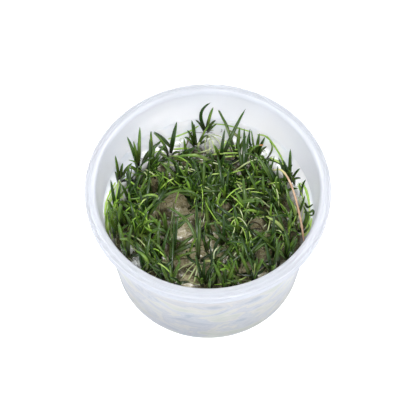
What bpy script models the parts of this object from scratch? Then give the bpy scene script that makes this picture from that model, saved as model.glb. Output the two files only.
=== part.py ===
# Tissue culture shoreweed: small rosettes on clear agar in an open translucent cup.
# Metres, +Z up, origin at the centre of the cup's foot. Sizes below are in millimetres.

import math
import random

import bmesh
import bpy
from mathutils import Vector
from mathutils.kdtree import KDTree

MM = 0.001
UP = Vector((0.0, 0.0, 1.0))

# Cup
CUP_HEIGHT = 62.0
RIM_RADIUS = 50.0
RIM_EDGE = 0.6              # chamfer on the rim's edges
SKIRT_DEPTH = 6.0
SKIRT_THICKNESS = 1.0
SKIRT_DRAFT = 0.2           # how much narrower the skirt is at its lower edge
FOOT_RADIUS = 40.0          # the outer wall's line, carried down to the foot
NECK_RADIUS = 46.1          # the same line, just under the rim
WALL = 0.8
CORNER = 2.5                # outer round at the foot
INNER_CORNER = 2.6          # inner round at the floor
CORNER_STEPS = 2
FOOT_RING = 2.0             # width of the flat ring that the cup stands on
FOOT_RECESS = 0.9           # how far the floor's underside is lifted
RECESS_SLOPE = 0.5
FLOOR_TOP = FOOT_RECESS + WALL
ROUND_STEPS = 44

# Gel
GEL_TOP = 44.0
GEL_GAP = 0.3
MENISCUS = 0.6              # how far the gel climbs at the wall
MENISCUS_WIDTH = 1.2

# Rosettes
CROWN_RADIUS = 1.9          # at the gel
CROWN_TOP_RADIUS = 1.5
CROWN_DEPTH = 2.4
CROWN_SIDES = 5
BASE_OFFSET = 0.8           # how far from the crown's middle a leaf starts
BASE_TAPER = 0.35           # a leaf's width at its base, as a share of the whole
BASE_SHARE = 0.2            # part of a leaf's length that may lie below the gel's rim
CROWN_HEIGHT = GEL_TOP + GEL_GAP + CROWN_DEPTH / 2
LEAF_SECTION = ((-1.0, 0.35), (1.0, 0.35), (0.0, -0.65))    # in half widths: flat above, keeled below
TIP_RADIUS = 0.12
LEAVES_IN_A_ROSETTE = 5
FILLER_GIVE = 4.0           # how much more readily a filler leaf moves aside
FILLER_ROOM = 9.0           # how far outward a filler leaf looks for the wall
FILLER_EASE = 6.0           # the room at the wall below which it is shortened
GROWTH_SEED = 11

# Spacing of the leaves
TIP_CEILING = 57.4          # over the middle of the cup
TIP_CEILING_AT_WALL = 60.0
OPEN_RADIUS = 34.0          # within it the lower ceiling holds
LEAF_GAP = 0.35
LEAST_GAP = 0.1             # below it a leaf is left out
WALL_GAP = 0.5
PASSES = 90
PUSH = 0.7                  # part of an overlap that one pass takes up
COARSE_SAMPLES = 14         # along each leaf while it moves
FINE_SAMPLES = 40           # along each leaf in the last test
LONGEST_LOOK = 6.0          # from a sample to its neighbours in the last test

# Each rosette: crown x and y, then its leaves as (bearing in degrees, reach, rise, lift of the
# middle, width) and for a hooked leaf how far its middle swings to the left.
ROSETTES = (
    ((-29, 19), ((87, 12, 13, 1, 2.3), (122, 9, 12, 2, 2.2), (108, 7, 10, 2, 1.9))),
    ((-24, 16), ((93, 8, 13, 1, 2.2), (75, 8, 11, 2, 2.0), (50, 10, 11, 4, 1.9))),
    ((-16, 25), ((71, 9, 12.5, 1, 2.8), (150, 8, 11, 4, 1.5), (-165, 5, 8, 3, 1.9), (-130, 11, 2, 4, 1.9))),
    ((-37, 12), ((104, 5, 13, 1, 1.8), (64, 4, 9, 2, 1.9), (36, 7, 8, 3, 1.9), (-8, 8, 1, 3, 1.8))),
    ((-5, 29), ((108, 6, 12, 1, 2.2), (140, 5, 8, 2, 1.8), (15, 5, 7, 3, 1.6))),
    ((-1, 36), ((72, 7, 13, 1, 2.1, 6.5), (57, 6, 12, 3, 1.9), (62, 4, 9, 1, 1.6), (29, 5, 6, 2, 1.8),
                (150, 5, 6, 2, 1.4))),
    ((6, 21), ((62, 21, 13, 2, 2.4), (80, 9, 12, 1, 2.2), (138, 5, 9, 2, 1.9))),
    ((12, 24), ((114, 18, 11, 3, 1.6), (152, 6, 8, 2, 1.5), (80, 7, 12, 1, 2.4), (50, 6, 9, 2, 1.9))),
    ((15, 13), ((89, 17, 13, 3, 2.6), (82, 16, 11, 2, 2.3), (103, 13, 10, 2, 2.2))),
    ((20, 23), ((76, 6, 11, 1, 2.3), (50, 6, 10, 1, 2.1), (36, 6, 4, 3, 1.7))),
    ((30, 6), ((129, 17, 12, 2, 2.8), (118, 12, 11, 2, 2.2), (80, 8, 11, 1, 2.0))),
    ((34, 12), ((90, 8, 13, 1, 2.3), (120, 6, 9, 2, 2.0), (5, 4, 10, 1, 1.8), (-25, 5, 6, 2, 1.7))),
    ((36, -7), ((127, 7, 11, 2, 1.9), (105, 11, 13, 2, 1.9), (65, 6, 12, 1, 1.7))),
    ((3, 15), ((163, 19, 6, 6, 1.9), (180, 5, 10, 2, 2.1), (45, 5, 12, 1, 2.2), (110, 7, 9, 2, 1.8))),
    ((-2, 4), ((109, 11, 13, 2, 2.4), (88, 12, 12, 2, 2.3), (60, 8, 11, 2, 2.1), (150, 7, 10, 2, 2.1))),
    ((-10, 9), ((144, 13, 9, 3, 2.2), (118, 7, 11, 1, 2.1), (74, 6, 12, 1, 2.2), (-57, 8, 2, 3, 1.7))),
    ((-26, -6), ((130, 10, 4, 9, 1.4, -6), (81, 13, 13, 2, 2.3), (104, 8, 11, 1, 2.2), (45, 8, 9, 2, 1.9))),
    ((-29, -15), ((30, 11, 6, 6, 1.9), (103, 10, 13, 1, 2.4), (129, 8, 11, 2, 2.2), (53, 7, 12, 2, 2.0))),
    ((-19, -26), ((87, 13, 13, 1, 2.6), (139, 9, 10, 2, 2.0), (70, 12, 12, 3, 1.5))),
    ((-26, -31), ((128, 17, 3, 9, 1.9, -7), (77, 13, 12, 2, 2.3), (108, 9, 11, 1, 2.2), (20, 8, 9, 2, 1.8))),
    ((-17, -14), ((17, 9, 9, 3, 2.5), (150, 8, 11, 3, 2.2), (98, 6, 10, 1, 2.2), (31, 14, 7, 5, 1.6))),
    ((-14, -22), ((32, 11, 5, 3, 2.3), (12, 12, 2, 4, 1.7), (80, 11, 13, 1, 1.6), (160, 6, 8, 2, 1.9))),
    ((-4, -25), ((92, 22, 12, 3, 2.3), (126, 24, 10, 5, 2.0, -7), (86, 14, 12, 1, 1.9), (13, 18, 3, 6, 1.7),
                 (-23, 8, 1, 3, 1.6))),
    ((13, -14), ((108, 9, 12, 1, 2.8), (-93, 16, 5, 7, 2.0), (60, 6, 12, 1, 1.8), (31, 7, 5, 3, 1.7))),
    ((7, -19), ((125, 8, 9, 2, 2.3), (95, 9, 12, 2, 2.0), (162, 10, 6, 3, 1.9))),
    ((26, -20), ((150, 9, 8, 3, 2.3), (84, 9, 13, 1, 2.1), (170, 8, 4, 3, 1.8))),
    ((33, -17), ((135, 12, 8, 4, 2.4), (118, 13, 12, 2, 1.7), (82, 8, 13, 1, 2.1), (-120, 6, 8, 2, 1.9))),
    ((33, -25), ((60, 6, 10, 1, 2.6), (116, 8, 12, 1, 2.1), (170, 6, 9, 2, 1.9))),
    ((14, -26), ((36, 12, 5, 3, 2.7), (110, 10, 10, 2, 2.0), (67, 7, 9, 2, 1.8), (-150, 6, 8, 2, 1.9))),
    ((18, -34), ((76, 6, 9, 1, 2.2), (125, 9, 12, 1, 2.1), (50, 7, 10, 2, 1.9))),
    ((7, -38), ((91, 5, 9, 1, 2.0), (129, 8, 12, 1, 2.2), (60, 8, 12, 1, 2.1))),
    ((23, 1), ((-174, 9, 3, 7, 2.5), (125, 14, 12, 2, 2.2), (94, 7, 12, 1, 2.1), (39, 6, 8, 2, 1.9))),
    ((17, -5), ((99, 13, 12, 2, 2.6), (41, 7, 9, 2, 1.9), (135, 9, 11, 2, 2.2), (5, 9, 2, 4, 1.6))),
    ((7, 2), ((101, 16, 12, 3, 2.3), (80, 9, 12, 1, 2.1), (154, 9, 10, 2, 2.0), (14, 7, 8, 2, 1.9))),
    ((-38, -3), ((102, 7, 14, 1, 2.2), (72, 8, 12, 1, 2.1), (-160, 3, 13, 1, 1.9))),
    ((-38, -14), ((104, 8, 14, 1, 2.0), (75, 9, 12, 1, 2.2), (130, 4, 11, 1, 1.8), (10, 6, 8, 2, 1.8))),
    ((-33, -24), ((107, 10, 13, 1, 2.2), (72, 9, 12, 1, 2.3), (-13, 6, 3, 3, 1.7))),
    ((-15, -37), ((88, 28, 12, 2, 1.3), (8, 8, 2, 3, 1.9), (55, 7, 12, 1, 2.1), (130, 6, 10, 2, 2.0))),
    ((-2, -36), ((112, 8, 12, 1, 2.2), (50, 7, 9, 2, 2.0), (85, 6, 11, 1, 1.9))),
    ((26, -31), ((112, 7, 13, 1, 2.2), (71, 8, 13, 1, 2.2), (160, 6, 8, 2, 1.9))),
    ((-32, 1), ((93, 9, 13, 1, 2.3), (61, 9, 12, 2, 2.2), (132, 5, 10, 2, 1.9))),
    ((39, -14), ((113, 6, 13, 1, 2.0), (88, 5, 12, 1, 1.7), (-100, 5, 10, 1, 1.8))),
)

# Stolons: name, radius and the points that each runs through.
RUNNERS = (
    ("runner_rear_left", 0.45, ((-17, 32.4, 45.8), (-12.5, 34, 46), (-7.5, 36.4, 46), (-4, 38.8, 46.2))),
    ("runner_rear", 0.4, ((1.6, 40, 46), (7.5, 39.2, 46.2), (13, 37.6, 46.2), (18.5, 36, 45.8))),
    ("runner_rear_right", 0.5, ((21, 34.4, 46.2), (24, 33.6, 46.6), (26.6, 31, 46.6), (30, 25.2, 46),
                                (32.2, 19.8, 45.8))),
    ("runner_right", 0.55, ((38.4, 10.5, 46.5), (40.6, 6.8, 48), (41.6, 0.5, 49), (41.6, -6.5, 48.6),
                            (40.6, -12, 46.5))),
    ("runner_left", 0.55, ((-39, 4.5, 47.5), (-41, -2, 48.5), (-41.6, -9, 48), (-40.4, -15, 46.2))),
    ("runner_front_left", 0.5, ((-38.4, 8.5, 50.5), (-40.2, 4, 51), (-41.8, -1.5, 51.2), (-42.2, -7, 51))),
    ("dry_strand", 0.6, ((27, 13, 53), (30.2, 12.4, 54), (33, 8, 54.6), (35, 2, 54.5), (36.6, -5, 54),
                         (38, -12, 52), (39, -18, 48.5))),
)
RUNNER_STEP = 3.0
RUNNER_CHECK_STEP = 0.8     # spacing of the points that leaves keep clear of

# White tufts of aerial root: centre x and y, radius and height.
TUFTS = (
    (1.8, 29.8, 2.6, 5.6),
    (-35.0, 6.6, 2.2, 3.8),
    (-15.2, 20.6, 1.9, 2.8),
    (-32.6, -19.6, 1.6, 3.0),
    (-28.6, -26.5, 1.8, 3.4),
)
TUFT_CHECKS = (0.25, 0.5, 0.75)     # shares of a tuft's height that leaves keep clear of


class Rosette:
    def __init__(self, x, y):
        self.crown = Vector((x, y, CROWN_HEIGHT))

    def keep_on_gel(self):
        # The crown stands on the flat part of the gel, inside the rim that climbs the wall.
        limit = inner_radius(GEL_TOP) - GEL_GAP - MENISCUS_WIDTH - CROWN_RADIUS
        out = math.hypot(self.crown.x, self.crown.y)
        if out > limit:
            self.crown.x *= limit / out
            self.crown.y *= limit / out


class Leaf:
    # A leaf arches from its crown over a middle control point to its tip.
    def __init__(self, rosette, bearing, reach, rise, lift, width, swing=0.0, give=1.0):
        angle = math.radians(bearing)
        outward = Vector((math.cos(angle), math.sin(angle), 0.0))
        leftward = Vector((-outward.y, outward.x, 0.0))
        self.rosette = rosette
        self.width = width
        self.lift = lift
        self.give = give
        self.length = math.hypot(reach, rise)
        self.base = outward * BASE_OFFSET
        self.tip = rosette.crown + outward * reach + UP * rise
        self.middle = rosette.crown + outward * reach * 0.42 + UP * (rise * 0.58 + lift) + leftward * swing

    def at(self, t):
        root = self.rosette.crown + self.base
        return root * (1 - t) ** 2 + self.middle * 2 * t * (1 - t) + self.tip * t * t

    def half_width(self, t):
        taper = min(1.0, BASE_TAPER + 1.8 * t) * (1.0 - t ** 2.6) ** 0.8
        return 0.5 * self.width * taper + TIP_RADIUS

    def knots(self):
        # A nearly straight leaf needs fewer of them than an arching one.
        count = 3 if self.lift < 3 else 4 if self.lift < 5 else 6
        return [k / count for k in range(count + 1)]

    def push(self, t, shift):
        # The point at t moves by the shift, shared between the three control points. Every leaf of
        # the rosette may push the crown, so each push moves it only by its part.
        shares = ((1 - t) ** 2, 2 * t * (1 - t), t * t)
        total = sum(share * share for share in shares)
        self.rosette.crown += shift * (shares[0] / total / LEAVES_IN_A_ROSETTE)
        self.rosette.crown.z = CROWN_HEIGHT
        self.middle += shift * (shares[1] / total)
        self.tip += shift * (shares[2] / total)

    def hold_length(self):
        reach = self.tip - self.rosette.crown
        self.tip = self.rosette.crown + reach * (self.length / reach.length)


def smooth_route(points, step):
    # A Catmull-Rom curve through the points, sampled about every step.
    route = [Vector(p) for p in points]
    padded = [route[0] * 2 - route[1]] + route + [route[-1] * 2 - route[-2]]
    result = []
    for a, b, c, d in zip(padded, padded[1:], padded[2:], padded[3:]):
        count = max(1, round((c - b).length / step))
        for k in range(count):
            t = k / count
            bend = (b * 2 + (c - a) * t + (a * 2 - b * 5 + c * 4 - d) * t ** 2
                    + (b * 3 - a - c * 3 + d) * t ** 3)
            result.append(bend * 0.5)
    return result + [route[-1]]


def inner_radius(z):
    slope = (NECK_RADIUS - FOOT_RADIUS) / (CUP_HEIGHT - SKIRT_THICKNESS)
    return FOOT_RADIUS + slope * z - WALL


def ceiling_at(place):
    blend = (math.hypot(place.x, place.y) - OPEN_RADIUS) / (inner_radius(CUP_HEIGHT) - OPEN_RADIUS)
    return TIP_CEILING + (TIP_CEILING_AT_WALL - TIP_CEILING) * min(1.0, max(0.0, blend))


def room_outward(crown, bearing):
    # 1 where a leaf has room on that bearing, down to 0.2 where it would meet the wall.
    angle = math.radians(bearing)
    out = math.hypot(crown.x + FILLER_ROOM * math.cos(angle), crown.y + FILLER_ROOM * math.sin(angle))
    return min(1.0, max(0.2, (inner_radius(GEL_TOP) - out) / FILLER_EASE))


def sow():
    # The rosettes with the leaves listed above, then filler leaves in each one's widest gaps.
    dice = random.Random(GROWTH_SEED)
    rosettes = []
    leaves = []
    for (x, y), listed in ROSETTES:
        rosette = Rosette(x, y)
        rosettes.append(rosette)
        leaves += [Leaf(rosette, *values) for values in listed]
    for rosette, (_, listed) in zip(rosettes, ROSETTES):
        bearings = sorted(values[0] % 360 for values in listed)
        for _ in range(LEAVES_IN_A_ROSETTE - len(listed)):
            turns = bearings[1:] + [bearings[0] + 360]
            width, start = max((b - a, a) for a, b in zip(bearings, turns))
            bearing = start + width * dice.uniform(0.4, 0.6)
            bearings = sorted(bearings + [bearing % 360])
            reach = dice.uniform(5, 11) * room_outward(rosette.crown, bearing)
            leaves.append(Leaf(rosette, bearing, reach, dice.uniform(8, 12), dice.uniform(1, 2.9),
                               dice.uniform(1.5, 2.1), dice.uniform(-1, 1), FILLER_GIVE))
    return rosettes, leaves


def samples(leaf, count):
    # Points along a leaf as (leaf, rosette, t, place, half width).
    steps = [k / count for k in range(count + 1)]
    return [(leaf, leaf.rosette, t, leaf.at(t), leaf.half_width(t)) for t in steps]


def gather(leaves, rosettes, fixed, count):
    # Every leaf's points, the crowns, and the runners and tufts that stay put.
    points = [point for leaf in leaves for point in samples(leaf, count)]
    points += [(None, rosette, 0.0, rosette.crown, CROWN_RADIUS) for rosette in rosettes]
    points += [(None, None, 0.0, place, radius) for place, radius in fixed]
    tree = KDTree(len(points))
    for index, point in enumerate(points):
        tree.insert(point[3], index)
    tree.balance()
    return points, tree


def room_needed(one, other, distance):
    if one[1] is other[1]:
        return 0.0
    return one[4] + other[4] + LEAF_GAP - distance


def keep_in_cup(leaf, t, place, radius):
    out = math.hypot(place.x, place.y) + radius + WALL_GAP - inner_radius(place.z)
    if out > 0.0:
        leaf.push(t, Vector((-place.x, -place.y, 0.0)).normalized() * out)
    sunk = GEL_TOP + MENISCUS + GEL_GAP + radius - place.z
    if sunk > 0.0 and t > BASE_SHARE:
        leaf.push(t, UP * sunk)
    over = place.z + radius - ceiling_at(place)
    if over > 0.0:
        leaf.push(t, -UP * over)


def part_leaves(leaves, rosettes, fixed):
    # Leaves of different rosettes ease apart until none cross, staying inside the cup.
    widest = max(leaf.half_width(k / COARSE_SAMPLES) for leaf in leaves for k in range(COARSE_SAMPLES))
    search = widest + max(CROWN_RADIUS, max(radius for _, radius in fixed)) + LEAF_GAP
    for _ in range(PASSES):
        points, tree = gather(leaves, rosettes, fixed, COARSE_SAMPLES)
        for point in points:
            leaf, _, t, place, radius = point
            if leaf is None:
                continue
            for near, index, distance in tree.find_range(place, search):
                other = points[index]
                room = room_needed(point, other, distance)
                if room > 0.0:
                    away = (place - near).normalized() if distance > 0.01 else UP
                    share = leaf.give / (leaf.give + other[0].give) if other[0] else 1.0
                    leaf.push(t, away * room * PUSH * share)
            keep_in_cup(leaf, t, place, radius)
        for rosette in rosettes:
            rosette.keep_on_gel()
        for leaf in leaves:
            leaf.hold_length()


def clear_leaves(leaves, rosettes, fixed):
    # A leaf that would still cross another is left out, later ones first.
    kept = []
    for leaf in leaves:
        points, tree = gather(kept, rosettes, fixed, FINE_SAMPLES)
        crossing = any(
            room_needed(point, points[index], distance) > LEAF_GAP - LEAST_GAP
            for point in samples(leaf, FINE_SAMPLES)
            for _, index, distance in tree.find_range(point[3], LONGEST_LOOK)
        )
        if not crossing:
            kept.append(leaf)
    return kept


def finish(name, color, roughness, transmission=0.0):
    material = bpy.data.materials.new(name)
    material.use_nodes = True
    shader = material.node_tree.nodes["Principled BSDF"]
    shader.inputs["Base Color"].default_value = (*color, 1.0)
    shader.inputs["Roughness"].default_value = roughness
    shader.inputs["Metallic"].default_value = 0.0
    shader.inputs["Transmission Weight"].default_value = transmission
    return material


def add_object(name, mesh, collection, material=None, location=(0.0, 0.0, 0.0)):
    obj = bpy.data.objects.new(name, mesh)
    obj.location = location
    collection.objects.link(obj)
    if material:
        mesh.materials.append(material)
    return obj


def turned(name, profile, collection, material):
    # The profile runs from the axis round the section and back to the axis.
    mesh = bpy.data.meshes.new(name)
    corners = [(r * MM, 0.0, z * MM) for r, z in profile]
    mesh.from_pydata(corners, [(k, k + 1) for k in range(len(corners) - 1)], [])
    obj = add_object(name, mesh, collection, material)
    screw = obj.modifiers.new("turn", "SCREW")
    screw.steps = ROUND_STEPS
    screw.render_steps = ROUND_STEPS
    screw.use_smooth_shade = True
    screw.use_merge_vertices = True
    screw.merge_threshold = 0.00001
    return obj


def add_curve(name, points, radii, collection):
    curve = bpy.data.curves.new(name, "CURVE")
    curve.dimensions = "3D"
    curve.bevel_depth = MM
    curve.bevel_resolution = 0
    curve.use_fill_caps = True
    spline = curve.splines.new("POLY")
    spline.points.add(len(points) - 1)
    for knot, place, radius in zip(spline.points, points, radii):
        knot.co = (*(place * MM), 1.0)
        knot.radius = radius
    return add_object(name, curve, collection)


def leaf_section(collection):
    # The closed outline that is drawn along every leaf.
    outline = bpy.data.curves.new("leaf_section", "CURVE")
    spline = outline.splines.new("POLY")
    spline.points.add(len(LEAF_SECTION) - 1)
    for knot, (x, y) in zip(spline.points, LEAF_SECTION):
        knot.co = (x * MM, y * MM, 0.0, 1.0)
    spline.use_cyclic_u = True
    return hide(add_object("leaf_section", outline, collection))


def hide(obj):
    obj.hide_render = True
    obj.display_type = "WIRE"
    return obj


def curve_to_solid(obj, depsgraph, collection, material):
    # The curve becomes a closed mesh: its caps are welded and the curve is removed.
    mesh = bpy.data.meshes.new_from_object(obj.evaluated_get(depsgraph))
    shape = bmesh.new()
    shape.from_mesh(mesh)
    bmesh.ops.remove_doubles(shape, verts=shape.verts, dist=0.000001)
    bmesh.ops.recalc_face_normals(shape, faces=shape.faces)
    shape.to_mesh(mesh)
    shape.free()
    name = obj.name
    place = obj.matrix_world.copy()
    bpy.data.objects.remove(obj)
    solid = add_object(name, mesh, collection, material)
    solid.matrix_world = place
    return solid


def crown_mesh(name):
    shape = bmesh.new()
    bmesh.ops.create_cone(shape, cap_ends=True, segments=CROWN_SIDES, radius1=CROWN_RADIUS * MM,
                          radius2=CROWN_TOP_RADIUS * MM, depth=CROWN_DEPTH * MM)
    mesh = bpy.data.meshes.new(name)
    shape.to_mesh(mesh)
    shape.free()
    return mesh


def arc(r, z, radius, start, end):
    # Points of a round in a profile; the angles are in degrees up from the outward direction.
    angles = [math.radians(start + (end - start) * k / CORNER_STEPS) for k in range(CORNER_STEPS + 1)]
    return [(r + radius * math.cos(angle), z + radius * math.sin(angle)) for angle in angles]


def inner_corner(radius, start, end):
    # The round between floor and wall; the gel's own round shares its centre.
    z = FLOOR_TOP + INNER_CORNER
    return arc(inner_radius(z) - INNER_CORNER, z, radius, start, end)


def build_cup(collection):
    plastic = finish("translucent_polypropylene", (0.86, 0.89, 0.92), 0.35, 0.6)
    under_rim = CUP_HEIGHT - SKIRT_THICKNESS
    skirt_edge = CUP_HEIGHT - SKIRT_DEPTH
    corner_radius = inner_radius(CORNER) + WALL - CORNER
    profile = [
        (0.0, FLOOR_TOP),
        *inner_corner(INNER_CORNER, -90.0, 0.0),
        (inner_radius(under_rim), under_rim),
        (inner_radius(under_rim) + RIM_EDGE, CUP_HEIGHT),
        (RIM_RADIUS - RIM_EDGE, CUP_HEIGHT),
        (RIM_RADIUS, CUP_HEIGHT - RIM_EDGE),
        (RIM_RADIUS - SKIRT_DRAFT, skirt_edge),
        (RIM_RADIUS - SKIRT_DRAFT - SKIRT_THICKNESS, skirt_edge),
        (RIM_RADIUS - SKIRT_THICKNESS, under_rim),
        (NECK_RADIUS, under_rim),
        *arc(corner_radius, CORNER, CORNER, 0.0, -90.0),
        (corner_radius - FOOT_RING, 0.0),
        (corner_radius - FOOT_RING - RECESS_SLOPE, FOOT_RECESS),
        (0.0, FOOT_RECESS),
    ]
    return turned("cup", profile, collection, plastic)


def build_gel(collection):
    agar = finish("clear_agar", (0.62, 0.54, 0.42), 0.08, 0.9)
    profile = [
        (0.0, GEL_TOP),
        (inner_radius(GEL_TOP) - GEL_GAP - MENISCUS_WIDTH, GEL_TOP),
        (inner_radius(GEL_TOP + MENISCUS) - GEL_GAP, GEL_TOP + MENISCUS),
        *inner_corner(INNER_CORNER - GEL_GAP, 0.0, -90.0),
        (0.0, FLOOR_TOP + GEL_GAP),
    ]
    return turned("gel", profile, collection, agar)


def build_rosettes(rosettes, leaves, collection, helpers):
    green = finish("shoreweed_leaf", (0.09, 0.22, 0.03), 0.35)
    section = leaf_section(helpers)
    curves = []
    for number, leaf in enumerate(leaves):
        steps = leaf.knots()
        points = [leaf.at(t) - leaf.rosette.crown for t in steps]
        radii = [leaf.half_width(t) for t in steps]
        curve = add_curve(f"leaf_{number + 1:03d}", points, radii, helpers)
        curve.data.bevel_mode = "OBJECT"
        curve.data.bevel_object = section
        curve.location = leaf.rosette.crown * MM
        curves.append(curve)
    bpy.context.view_layer.update()
    depsgraph = bpy.context.evaluated_depsgraph_get()
    blades = [hide(curve_to_solid(curve, depsgraph, helpers, green)) for curve in curves]
    for number, rosette in enumerate(rosettes):
        name = f"plantlet_{number + 1:02d}"
        crown = add_object(name, crown_mesh(name), collection, green, rosette.crown * MM)
        bunch = bpy.data.collections.new(f"leaves_{number + 1:02d}")
        helpers.children.link(bunch)
        for leaf, blade in zip(leaves, blades):
            if leaf.rosette is rosette:
                helpers.objects.unlink(blade)
                bunch.objects.link(blade)
        union = crown.modifiers.new("leaves", "BOOLEAN")
        union.operation = "UNION"
        union.operand_type = "COLLECTION"
        union.collection = bunch


def build_runners(routes, collection, helpers):
    stem = finish("shoreweed_stolon", (0.36, 0.55, 0.08), 0.4)
    dry = finish("dry_stem", (0.75, 0.5, 0.36), 0.5)
    curves = [add_curve(name, route, [radius] * len(route), helpers) for name, radius, route in routes]
    bpy.context.view_layer.update()
    depsgraph = bpy.context.evaluated_depsgraph_get()
    for curve in curves:
        curve_to_solid(curve, depsgraph, collection, dry if curve.name.startswith("dry") else stem)


def build_tufts(collection):
    root = finish("aerial_root", (0.85, 0.86, 0.8), 0.6)
    for number, (x, y, radius, height) in enumerate(TUFTS):
        name = f"root_tuft_{number + 1}"
        shape = bmesh.new()
        bmesh.ops.create_icosphere(shape, subdivisions=2, radius=radius * MM)
        bmesh.ops.scale(shape, vec=(1.0, 1.0, 0.5 * height / radius), verts=shape.verts)
        mesh = bpy.data.meshes.new(name)
        shape.to_mesh(mesh)
        shape.free()
        mesh.shade_smooth()
        place = (x * MM, y * MM, (GEL_TOP + GEL_GAP + height / 2) * MM)
        add_object(name, mesh, collection, root, place)


def main():
    for obj in list(bpy.data.objects):
        bpy.data.objects.remove(obj)
    scene = bpy.context.scene
    collection = bpy.data.collections.new("tissue_culture_shoreweed")
    helpers = bpy.data.collections.new("helpers")
    scene.collection.children.link(collection)
    scene.collection.children.link(helpers)

    routes = [(name, radius, smooth_route(points, RUNNER_STEP)) for name, radius, points in RUNNERS]
    fixed = [(place, radius) for _, radius, points in RUNNERS
             for place in smooth_route(points, RUNNER_CHECK_STEP)]
    for x, y, radius, height in TUFTS:
        for share in TUFT_CHECKS:
            fixed.append((Vector((x, y, GEL_TOP + GEL_GAP + height * share)), radius))
    rosettes, leaves = sow()
    part_leaves(leaves, rosettes, fixed)
    leaves = clear_leaves(leaves, rosettes, fixed)

    build_cup(collection)
    build_gel(collection)
    build_rosettes(rosettes, leaves, collection, helpers)
    build_runners(routes, collection, helpers)
    build_tufts(collection)


main()
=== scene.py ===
import math
import random

import bmesh
import bpy
from mathutils import Matrix, Vector
from mathutils.kdtree import KDTree


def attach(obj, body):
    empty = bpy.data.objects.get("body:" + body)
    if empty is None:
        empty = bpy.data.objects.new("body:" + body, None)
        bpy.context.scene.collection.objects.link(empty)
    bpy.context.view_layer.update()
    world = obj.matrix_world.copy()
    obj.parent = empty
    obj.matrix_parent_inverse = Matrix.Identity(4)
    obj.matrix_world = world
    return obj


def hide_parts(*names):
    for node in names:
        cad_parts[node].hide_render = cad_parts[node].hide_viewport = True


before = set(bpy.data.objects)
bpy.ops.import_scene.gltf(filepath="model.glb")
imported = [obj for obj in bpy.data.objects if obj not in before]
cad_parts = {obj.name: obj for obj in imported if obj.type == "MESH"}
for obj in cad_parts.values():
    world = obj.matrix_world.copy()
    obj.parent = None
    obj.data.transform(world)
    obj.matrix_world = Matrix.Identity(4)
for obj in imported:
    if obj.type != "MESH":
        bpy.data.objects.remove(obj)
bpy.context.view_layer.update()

mm = 0.001
up = Vector((0.0, 0.0, 1.0))
bpy.ops.object.select_all(action="DESELECT")


# small helpers

mixColour = {"data_type": "RGBA"}
multiply = {"data_type": "RGBA", "blend_type": "MULTIPLY", 0: 1.0}


def fromHex(text):
    # sRGB hex to linear
    parts = [int(text[k:k + 2], 16) / 255 for k in (1, 3, 5)]
    return (*[c / 12.92 if c <= 0.04045 else ((c + 0.055) / 1.055) ** 2.4 for c in parts], 1.0)


def cells(size):
    # the scale of a noise whose cells are this wide, in mm
    return 1.0 / (size * mm)


def wire(node, settings=None, links=None):
    # settings are sockets, properties or a ramp's stops; links bring in nodes or their sockets
    for key, value in (settings or {}).items():
        if key == "stops":
            band = node.color_ramp.elements
            while len(band) < len(value):
                band.new(0.5)
            for stop, (place, colour) in zip(band, value):
                stop.position = place
                stop.color = fromHex(colour) if isinstance(colour, str) else (colour, colour, colour, 1.0)
        elif isinstance(key, int) or key in node.inputs:
            node.inputs[key].default_value = fromHex(value) if isinstance(value, str) else value
        else:
            setattr(node, key, value)
    for key, source in (links or {}).items():
        output = source if isinstance(source, bpy.types.NodeSocket) else source.outputs[0]
        node.id_data.links.new(output, node.inputs[key])
    return node


def addNode(tree, kind, settings=None, links=None):
    return wire(tree.nodes.new("ShaderNode" + kind), settings, links)


def newMaterial(name):
    material = bpy.data.materials.new(name)
    material.use_nodes = True
    tree = material.node_tree
    return material, tree, tree.nodes["Principled BSDF"]


def pick(kind, test):
    # in edit mode, selects the corners, edges or faces that pass a test
    bpy.ops.mesh.select_mode(type=kind)
    bpy.ops.mesh.select_all(action="DESELECT")
    shape = bmesh.from_edit_mesh(bpy.context.object.data)
    for item in {"VERT": shape.verts, "EDGE": shape.edges, "FACE": shape.faces}[kind]:
        if test(item):
            item.select_set(True)
    shape.select_flush_mode()
    bmesh.update_edit_mesh(bpy.context.object.data)


def finishPiece(obj, slot, *nodes):
    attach(obj, "root")
    if nodes:
        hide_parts(*nodes)


def lathe(name, profile, steps):
    # one vertex is extruded along the profile, then spun round the cup's axis
    bpy.ops.mesh.primitive_plane_add(size=2 * mm, location=(0, 0, 0))
    obj = bpy.context.object
    obj.name = obj.data.name = name
    bpy.ops.object.mode_set(mode="EDIT")
    bpy.ops.mesh.select_all(action="SELECT")
    bpy.ops.mesh.merge(type="CENTER")
    last = (0.0, 0.0)
    for number, (r, z) in enumerate(profile):
        step = ((r - last[0]) * mm, 0.0, (z - last[1]) * mm)
        if number:
            bpy.ops.mesh.extrude_region_move(TRANSFORM_OT_translate={"value": step})
        else:
            bpy.ops.transform.translate(value=step)
        last = (r, z)
    bpy.ops.mesh.select_all(action="SELECT")
    bpy.ops.mesh.spin(steps=steps, angle=2 * math.pi, center=(0, 0, 0), axis=(0, 0, 1), dupli=False)
    bpy.ops.mesh.select_all(action="SELECT")
    bpy.ops.mesh.remove_doubles(threshold=0.002 * mm)
    bpy.ops.mesh.normals_make_consistent(inside=False)
    bpy.ops.object.mode_set(mode="OBJECT")
    bpy.ops.object.shade_smooth_by_angle(angle=math.radians(35))
    return obj


def arcPoints(r, z, radius, start, end, count):
    angles = [math.radians(start + (end - start) * k / count) for k in range(count + 1)]
    return [(r + radius * math.cos(a), z + radius * math.sin(a)) for a in angles]


def archPoint(a, b, c, t):
    # on the arch that leaves a towards b and comes down to c, as t goes from 0 to 1
    return a * (1 - t) ** 2 + b * 2 * t * (1 - t) + c * t * t


def scatter(dice, reach):
    # a place on a round patch, each as likely as the next
    angle, out = dice.uniform(0, 2 * math.pi), reach * math.sqrt(dice.random())
    return out * math.cos(angle), out * math.sin(angle)


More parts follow.
